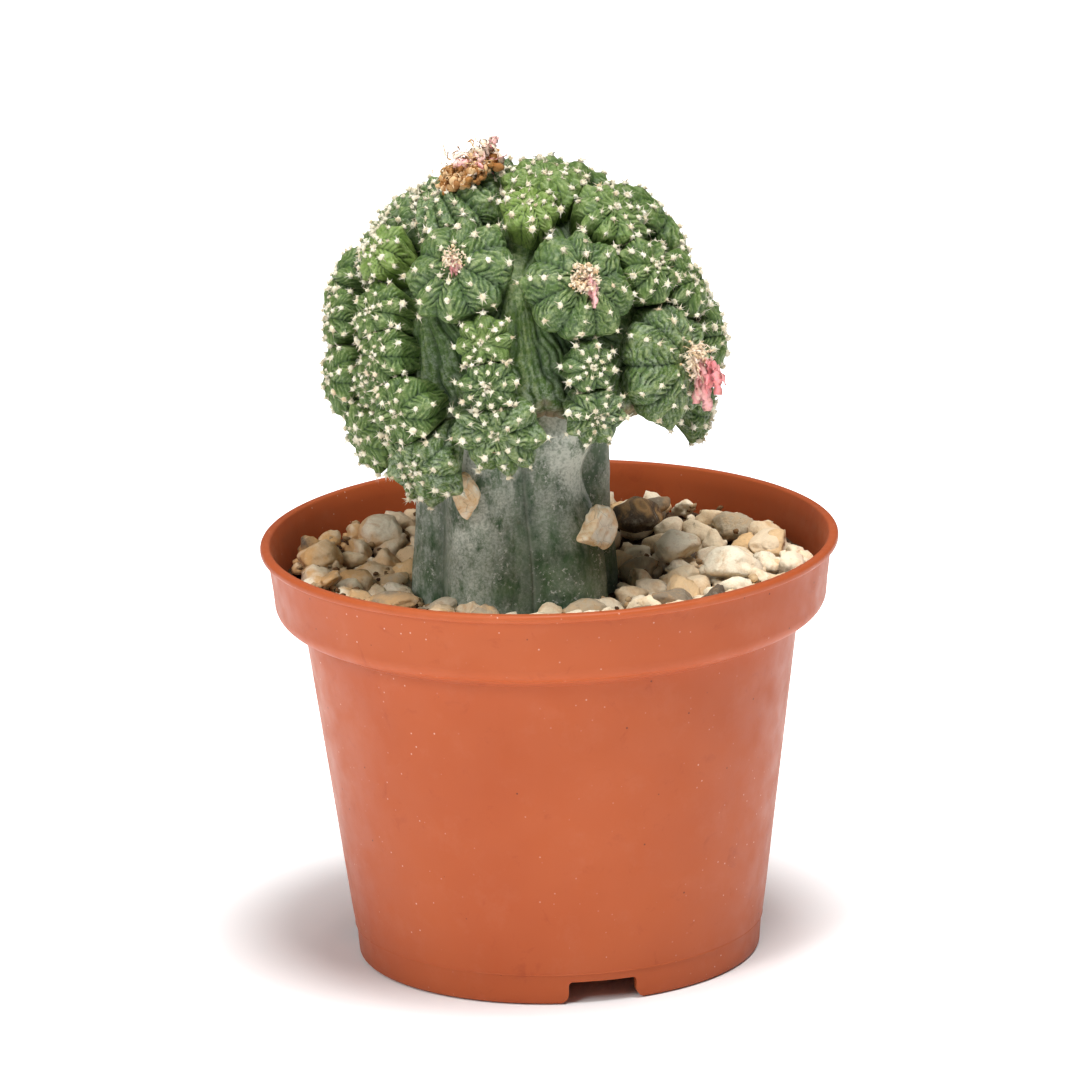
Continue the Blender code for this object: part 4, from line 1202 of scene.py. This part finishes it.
def makeStoneSkin():
    material, shader, place = newMaterial("wornStone", Roughness=0.85, Specular_IOR_Level=0.25)
    tone = attributeOf(place, "tone")
    # the near-black last stop is the back stone's own dark colour, darkened further as painted shade
    kind = ramp(tone, [(0.0, (0.92, 0.76, 0.54)), (0.22, (0.95, 0.86, 0.68)), (0.42, (0.88, 0.69, 0.46)),
                       (0.62, (0.94, 0.83, 0.65)), (0.80, (0.78, 0.50, 0.24)), (0.90, (0.88, 0.72, 0.50)),
                       (0.99, (0.09, 0.065, 0.045))])
    stain = noiseOf(place, 5 * mm, 6.0, 0.65, 0.8)
    across = splitUp(place)[0]
    leftward = times(rangeOf(across, -18 * mm, -42 * mm, 0.0, 0.9),
                     rangeOf(noiseOf(place, 7 * mm, 4.0), 0.40, 0.54))
    stained = maths("MAXIMUM", rangeOf(stain, 0.50, 0.68, 0.0, 0.60), leftward)
    colour = mixed(stained, kind, (0.66, 0.37, 0.14))
    colour = mixed(rangeOf(stain, 0.44, 0.30, 0.0, 0.5), colour, (0.82, 0.75, 0.60))
    pits = rangeOf(noiseOf(place, 1.1 * mm, 4.0, 0.6), 0.36, 0.24)
    colour = mixed(times(pits, 0.5), colour, (0.22, 0.14, 0.07))
    grain = noiseOf(place, 0.35 * mm, 4.0, 0.7)
    colour = mixed(rangeOf(grain, 0.35, 0.60, 0.18, 0.0), colour, (0.40, 0.30, 0.19))
    feed(shader.inputs["Base Color"], colour)
    lumps = plus(noiseOf(place, 1.8 * mm, 7.0, 0.65), times(pits, -0.35))
    setBump(shader, lumps, 0.75 * mm, 0.8)
    return material


def makeCompost():
    material, shader, place = newMaterial("darkCompost", Roughness=0.97, Specular_IOR_Level=0.12)
    tone = noiseOf(place, 2.5 * mm, 7.0, 0.75)
    colour = ramp(tone, [(0.30, (0.018, 0.010, 0.006)), (0.5, (0.075, 0.042, 0.022)),
                         (0.68, (0.19, 0.12, 0.07))])
    feed(shader.inputs["Base Color"], colour)
    setBump(shader, noiseOf(place, 0.9 * mm, 6.0, 0.75), 0.7 * mm, 0.9)
    return material


def makeBark():
    material, shader, place = newMaterial("brownBark", Roughness=0.95, Specular_IOR_Level=0.12)
    tone = attributeOf(place, "tone")
    colour = ramp(tone, [(0.0, (0.07, 0.035, 0.018)), (0.5, (0.22, 0.12, 0.055)),
                         (1.0, (0.60, 0.42, 0.24))])
    feed(shader.inputs["Base Color"], colour)
    setBump(shader, noiseOf(place, 0.5 * mm, 5.0, 0.7), 0.3 * mm, 0.8)
    return material


def heroStoneMesh(node, seed):
    # one large stone, worn like the rest, that fills its CAD node's own room
    points = nodePoints(node)
    middle = (points.max(0) + points.min(0)) / 2
    centred = points - middle
    _, axes = np.linalg.eigh(centred.T @ centred)
    halves = np.abs(centred @ axes).max(0)
    random = np.random.default_rng(seed)
    rows, columns = 56, 80
    turn = np.linspace(0, math.tau, columns, endpoint=False)
    tilt = np.linspace(0.02, 0.98, rows) * math.pi
    ball = ringsOf(np.sin(tilt), turn, np.cos(tilt))
    reach = np.full((rows, columns), 1.08)
    for _ in range(13):
        facing = unit(random.normal(size=3))
        far = random.uniform(0.72, 1.02) / np.maximum(ball @ facing, 0.1)
        reach = -np.log(np.exp(-reach * 14) + np.exp(-far * 14)) / 14
    reach = reach * (1 + 0.05 * ripple(ball, seed, 0.9) + 0.025 * ripple(ball, seed + 1, 0.3))
    grid = middle + (ball * reach[..., None] * halves * 1.02) @ axes.T
    mesh = gridMesh(node + "_worn", grid, grid[0].mean(0), grid[-1].mean(0))
    tone = stoneTones.get(node, random.uniform(0.1, 0.3))
    setValues(mesh, "tone", np.full(len(mesh.vertices), tone))
    return mesh


def chipsMesh():
    # flat, sharp-edged chips that lie on the stones
    random = np.random.default_rng(gravel["seed"])
    points, faces = [], []
    for angle, away, turn, halves in gravel["chips"]:
        shape = bmesh.new()
        bmesh.ops.create_icosphere(shape, subdivisions=4, radius=1)
        ball = np.array([v.co for v in shape.verts])
        start = len(points)
        faces += [tuple(start + v.index for v in face.verts) for face in shape.faces]
        shape.free()
        reach = np.full(len(ball), 1.05)
        for _ in range(11):
            far = random.uniform(0.62, 0.95)
            reach = np.minimum(reach, far / np.maximum(ball @ unit(random.normal(size=3)), 0.1))
        reach = reach * (1 + 0.05 * ripple(ball, turn + 90, 0.4))
        ball = ball * reach[:, None] * np.array(halves) * mm
        tip = Matrix.Rotation(random.uniform(-0.3, 0.3), 3, "X")
        turned = Matrix.Rotation(math.radians(turn), 3, "Z") @ tip
        place = heading(angle) * away
        place[2] = bedHeight(away) + 2.4 * mm
        points += list(place + ball @ np.array(turned).T)
    mesh = bpy.data.meshes.new("slateChips")
    mesh.from_pydata([tuple(point) for point in points], [], faces)
    setValues(mesh, "tone", np.full(len(points), gravel["chipTone"]))
    return mesh


def layerLevel(name, inner, outer, drop):
    # the sheet that a layer's middles lie on; crumbs lie thick at the left, and here and there at the right
    turn = np.linspace(0, math.tau, 72, endpoint=False)
    axis = sum(boxOf("rootstock")) / 2
    rings = []
    for share in np.linspace(0, 1, 8):
        centre = axis[:2] * (1 - share)
        radius = inner + (outer - inner) * share
        x, y = centre[0] + np.cos(turn) * radius, centre[1] + np.sin(turn) * radius
        rings.append(np.stack([x, y, bedHeight(np.hypot(x, y)) - drop], -1))
    points = np.concatenate(rings)
    faces = [(r * 72 + c, r * 72 + (c + 1) % 72, (r + 1) * 72 + (c + 1) % 72, (r + 1) * 72 + c)
             for r in range(7) for c in range(72)]
    if name == "bark_crumbs":
        thick = np.where(points[:, 0] < gravel["crumbEdge"], 0.9, -0.75)
        faces = [face for face in faces if math.sin(face[0] * 0.9) + thick[face[0]] > 0.1]
    mesh = bpy.data.meshes.new(name + "Level")
    mesh.from_pydata(points.tolist(), [], faces)
    return mesh


def makeFilling():
    stone, compost, bark = makeStoneSkin(), makeCompost(), makeBark()
    wall = boxOf("gravel_bed")[1][0]
    edges = np.linspace(gravel["innerRadius"], wall, 60)
    bed = bedMesh("bed", edges, lambda r: bedHeight(r) - gravel["bedDrop"], 360, 0.45 * mm, gravel["seed"])
    addPiece("compost_bed", bed, compost, ["gravel_bed"])
    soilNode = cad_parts["soil"]
    for index in range(len(soilNode.data.materials)):
        soilNode.data.materials[index] = compost
    for name, layer in gravel["layers"].items():
        material, slot = (bark, "compost") if name == "bark_crumbs" else (stone, "pale_stone")
        level = layerLevel(name, layer["inner"], wall - layer["fromWall"], layer["drop"])
        mesh = grownMesh(name, level, pebbleTree(material, layer))
        addPiece(name, mesh, material)
        print(name, len(mesh.polygons), "faces")
    addPiece("slate_chips", chipsMesh(), stone)
    for number, node in enumerate(sorted(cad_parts)):
        if node.startswith("stone_"):
            slot = "dark_stone" if "dark" in node else "pale_stone"
            addPiece(node + "_worn", heroStoneMesh(node, 40 + number), stone, [node])


makeFilling()
print("gravel done")


# dried flowers

petals = {
    "steps": 12,  # rows along one shrivelled strand
    "thickness": 0.10 * mm,
    "crumbDome": 0.54,  # how high the crumbs are heaped, over the flower's height
}

# each flower's strands: how many, length over its height, width, tint from brown (0) to pink (1), how far
# they hang (1 is straight down), how far out they start, and how far to the right; then its crumbs: how many
# there are, and their tint
flowerStyles = {
    "dried_flower_crown": ([(90, 0.45, 0.35 * mm, (0.20, 0.62), 0.0, 0.9, 0.0),
                            (48, 0.98, 1.9 * mm, (0.66, 0.88), 0.05, 0.40, 0.38)], (300, (0.02, 0.46))),
    "dried_flower_brow_left": ([(60, 0.50, 0.40 * mm, (0.55, 0.76), 0.1, 0.6, 0.0),
                                (16, 0.45, 1.2 * mm, (0.62, 0.76), 0.2, 0.5, 0.0),
                                (8, 2.5, 1.7 * mm, (0.78, 0.90), 0.95, 0.20, 0.0)], (24, (0.50, 0.72))),
    "dried_flower_brow_right": ([(90, 0.55, 0.42 * mm, (0.50, 0.76), 0.1, 0.7, 0.0),
                                 (26, 0.5, 1.4 * mm, (0.60, 0.76), 0.2, 0.6, 0.0),
                                 (8, 2.3, 2.1 * mm, (0.78, 0.90), 0.95, 0.20, 0.1)], (50, (0.45, 0.72))),
    "dried_flower_cheek": ([(90, 0.55, 0.45 * mm, (0.52, 0.76), 0.1, 0.8, 0.0),
                            (26, 0.5, 1.6 * mm, (0.60, 0.76), 0.2, 0.6, -0.1),
                            (9, 2.6, 2.4 * mm, (0.80, 0.92), 0.93, 0.30, 0.0),
                            (7, 1.9, 2.8 * mm, (0.90, 1.0), 0.62, 0.25, 0.5)], (50, (0.45, 0.72))),
}

flowerHeads = {"dried_flower_crown": "crown_head", "dried_flower_brow_left": "offset_brow_left",
               "dried_flower_brow_right": "offset_brow_right", "dried_flower_cheek": "offset_cheek_right"}


def strandBlock(random, start, direction, length, width, droop, tint):
    # a twisted, crinkled ribbon: its points, its faces and its tint
    steps = petals["steps"]
    spine = [start]
    way = unit(direction)
    for i in range(steps - 1):
        way = way + random.normal(size=3) * (0.33 - 0.12 * droop)
        way = unit(way - np.array([0, 0, 0.30]) * droop)
        spine.append(spine[-1] + way * length / steps)
    spine = np.array(spine)
    across = unit(np.cross(way, random.normal(size=3)))
    points, faces = [], []
    for i in range(steps):
        along = unit(spine[min(i + 1, steps - 1)] - spine[max(i - 1, 0)])
        across = unit(across - along * (across @ along) + random.normal(size=3) * 0.28)
        across = unit(across - along * (across @ along))
        flat = np.cross(along, across)
        taper = 0.35 + 0.65 * math.sin(math.pi * (0.12 + 0.80 * i / steps))
        wide = width * 0.5 * taper * random.uniform(0.6, 1.2)
        sides = (across * wide, flat * petals["thickness"] / 2)
        points += [spine[i] + sides[0], spine[i] + sides[1], spine[i] - sides[0], spine[i] - sides[1]]
        if i:
            a = (i - 1) * 4
            faces += [(a + k, a + (k + 1) % 4, a + 4 + (k + 1) % 4, a + 4 + k) for k in range(4)]
    faces += [(3, 2, 1, 0), tuple(len(points) - 4 + k for k in range(4))]
    return points, faces, [tint] * len(points)


def crumbBlock(random, place, size, tint):
    ball = bmesh.new()
    bmesh.ops.create_icosphere(ball, subdivisions=2, radius=1)
    shape = np.array([v.co for v in ball.verts])
    faces = [tuple(v.index for v in f.verts) for f in ball.faces]
    ball.free()
    shape = shape * (1 + 0.28 * ripple(shape, int(random.integers(1, 9999)), 1.0))[:, None]
    shape = shape * random.uniform(0.5, 1.2, 3) * size
    return list(place + shape), faces, [tint] * len(shape)


def flowerMesh(node, head, seed):
    groups, (crumbs, crumbTints) = flowerStyles[node]
    random = np.random.default_rng(seed)
    points = nodePoints(node)
    normal = head["normal"]
    base = points[np.argsort(points @ normal)[:10]].mean(0)
    tall = ((points - base) @ normal).max()
    away = points - base
    spread = np.linalg.norm(away - np.outer(away @ normal, normal), axis=1).max()
    allPoints, allFaces, allTints = [], [], []

    def take(block):
        start = len(allPoints)
        allPoints.extend(block[0])
        allFaces.extend([tuple(start + i for i in face) for face in block[1]])
        allTints.extend(block[2])

    def within(reach):  # a random step level with the head's face
        side = random.normal(size=3)
        return unit(side - normal * (side @ normal)) * math.sqrt(random.uniform()) * reach

    for _ in range(crumbs):
        side = within(spread * 0.92)
        top = tall * petals["crumbDome"] * (1 - 0.6 * np.linalg.norm(side) ** 2 / spread**2)
        place = base + side + normal * random.uniform(0.0, 1.0) ** 0.7 * top
        take(crumbBlock(random, place, spread * random.uniform(0.04, 0.13), random.uniform(*crumbTints)))
    for count, longer, width, tints, hang, out, rightward in groups:
        for _ in range(count):
            side = within(spread * out) + np.array([1.0, 0.0, 0.0]) * rightward * spread
            start = base + side + normal * tall * random.uniform(0.15, 0.60)
            direction = normal + side / spread * 1.1 + random.normal(size=3) * 0.35
            direction = unit(direction) * (1 - hang) + np.array([0.1, 0.0, -1.0]) * hang
            length = tall * longer * random.uniform(0.55, 1.0)
            take(strandBlock(random, start, direction, length, width * random.uniform(0.6, 1.3), hang * 1.5,
                             random.uniform(*tints)))
    mesh = bpy.data.meshes.new(node + "_shrivelled")
    mesh.from_pydata([tuple(p) for p in allPoints], [], allFaces)
    setValues(mesh, "tint", allTints)
    return mesh


def makeFlowers(heads):
    material, shader, place = newMaterial("driedPetal", Roughness=0.85, Specular_IOR_Level=0.2)
    tint = attributeOf(place, "tint")
    colour = ramp(tint, [(0.0, (0.20, 0.070, 0.016)), (0.25, (0.42, 0.19, 0.050)),
                         (0.5, (0.84, 0.60, 0.34)), (0.72, (0.95, 0.84, 0.68)), (0.84, (0.94, 0.52, 0.52)),
                         (1.0, (0.86, 0.20, 0.24))])
    vary = rangeOf(noiseOf(place, 0.9 * mm, 4.0, 0.6), 0.35, 0.60, 0.35, 0.0)
    feed(shader.inputs["Base Color"], mixed(vary, colour, (0.50, 0.30, 0.13)))
    setBump(shader, noiseOf(place, 0.3 * mm, 4.0), 0.08 * mm, 0.6)
    for number, (node, owner) in enumerate(flowerHeads.items()):
        mesh = flowerMesh(node, heads[owner], 60 + number)
        addPiece(node + "_tuft", mesh, material, [node])
    print("flowers done")


makeFlowers(scionHeads)


# studio

studio = {
    "distance": 2.333,
    "elevation": 15.8,  # degrees
    "aim": (-1.78 * mm, 0.0, 87.57 * mm),
    "roll": -1.6,  # degrees
    "lens": 375.0,
    "worldLeft": 0.27,
    "worldRight": 0.10,
    "worldSeen": 1.02,  # what the camera sees behind the plant
    "lights": {"keyLight": ((-1.05, -1.35, 1.35), 17), "topLight": ((0.20, -0.32, 1.5), 25)},  # watts last
    "lightSize": 0.7,
    "floorSize": 3.0,
    "floorLevel": -0.2 * mm,
    "glowStarts": 0.048,  # painted light: the paper glows from here outwards, so the floor far from the pot reads white
    "glowFull": 0.13,
    "paintedGlow": 0.8,
}


def makeCamera():
    rise = math.radians(studio["elevation"])
    aim = Vector(studio["aim"])
    spot = Vector((0, -studio["distance"] * math.cos(rise), aim.z + studio["distance"] * math.sin(rise)))
    forward = (aim - spot).normalized()
    level = forward.cross(Vector((0, 0, 1))).normalized()
    up = level.cross(forward)
    roll = math.radians(studio["roll"])
    right = level * math.cos(roll) + up * math.sin(roll)
    turn = Matrix((right, right.cross(forward), -forward)).transposed()
    data = bpy.data.cameras.new("camera")
    data.sensor_width = 36
    data.lens = studio["lens"]
    data.clip_end = 20
    camera = bpy.data.objects.new("camera", data)
    camera.matrix_world = Matrix.Translation(spot) @ turn.to_4x4()
    bpy.context.scene.collection.objects.link(camera)
    bpy.context.scene.camera = camera


def addSoftbox(name, spot, power):
    data = bpy.data.lights.new(name, "AREA")
    data.shape = "DISK"
    data.size = studio["lightSize"]
    data.energy = power
    light = bpy.data.objects.new(name, data)
    light.location = spot
    light.rotation_euler = (Vector((0, 0, 90 * mm)) - Vector(spot)).to_track_quat("-Z", "Y").to_euler()
    bpy.context.scene.collection.objects.link(light)


def makeStudio():
    world = bpy.data.worlds.new("paleStudio")
    world.use_nodes = True
    tree = world.node_tree
    lit = tree.nodes["Background"]
    lit.inputs["Color"].default_value = (1, 1, 1, 1)
    seen = wire(tree, "ShaderNodeLightPath", output="Is Camera Ray")
    way = wire(tree, "ShaderNodeTexCoord", output="Generated")
    across = splitUp(way)[0]
    soft = rangeOf(across, -1.0, 1.0, studio["worldLeft"], studio["worldRight"])
    feed(lit.inputs["Strength"], rangeOf(seen, 0.0, 1.0, soft, studio["worldSeen"]))
    bpy.context.scene.world = world
    bpy.context.scene.view_settings.view_transform = "Standard"
    for name, (spot, power) in studio["lights"].items():
        addSoftbox(name, spot, power)


def makeFloor():
    mesh = bpy.data.meshes.new("studioFloor")
    half = studio["floorSize"]
    sides = ((-1, -1), (1, -1), (1, 1), (-1, 1))
    corners = [(x * half, y * half, studio["floorLevel"]) for x, y in sides]
    mesh.from_pydata(corners, [], [(0, 1, 2, 3)])
    material, shader, place = newMaterial("palePaper", Roughness=0.9, Specular_IOR_Level=0.1)
    soft = ramp(noiseOf(place, 60 * mm, 3.0), [(0.3, (0.92, 0.92, 0.92)), (0.7, (0.96, 0.96, 0.96))])
    feed(shader.inputs["Base Color"], soft)
    far = vectorMaths("LENGTH", place, (0, 0, 0), "Value")
    # painted light: the floor glows more the further it is from the pot
    paintedGlow = rangeOf(far, studio["glowStarts"], studio["glowFull"], 0.0, studio["paintedGlow"])
    feed(shader.inputs["Emission Strength"], paintedGlow)
    shader.inputs["Emission Color"].default_value = (1, 1, 1, 1)
    mesh.materials.append(material)
    floor = bpy.data.objects.new("studio_floor", mesh)
    bpy.context.scene.collection.objects.link(floor)


makeCamera()
makeStudio()
makeFloor()
print("studio done")
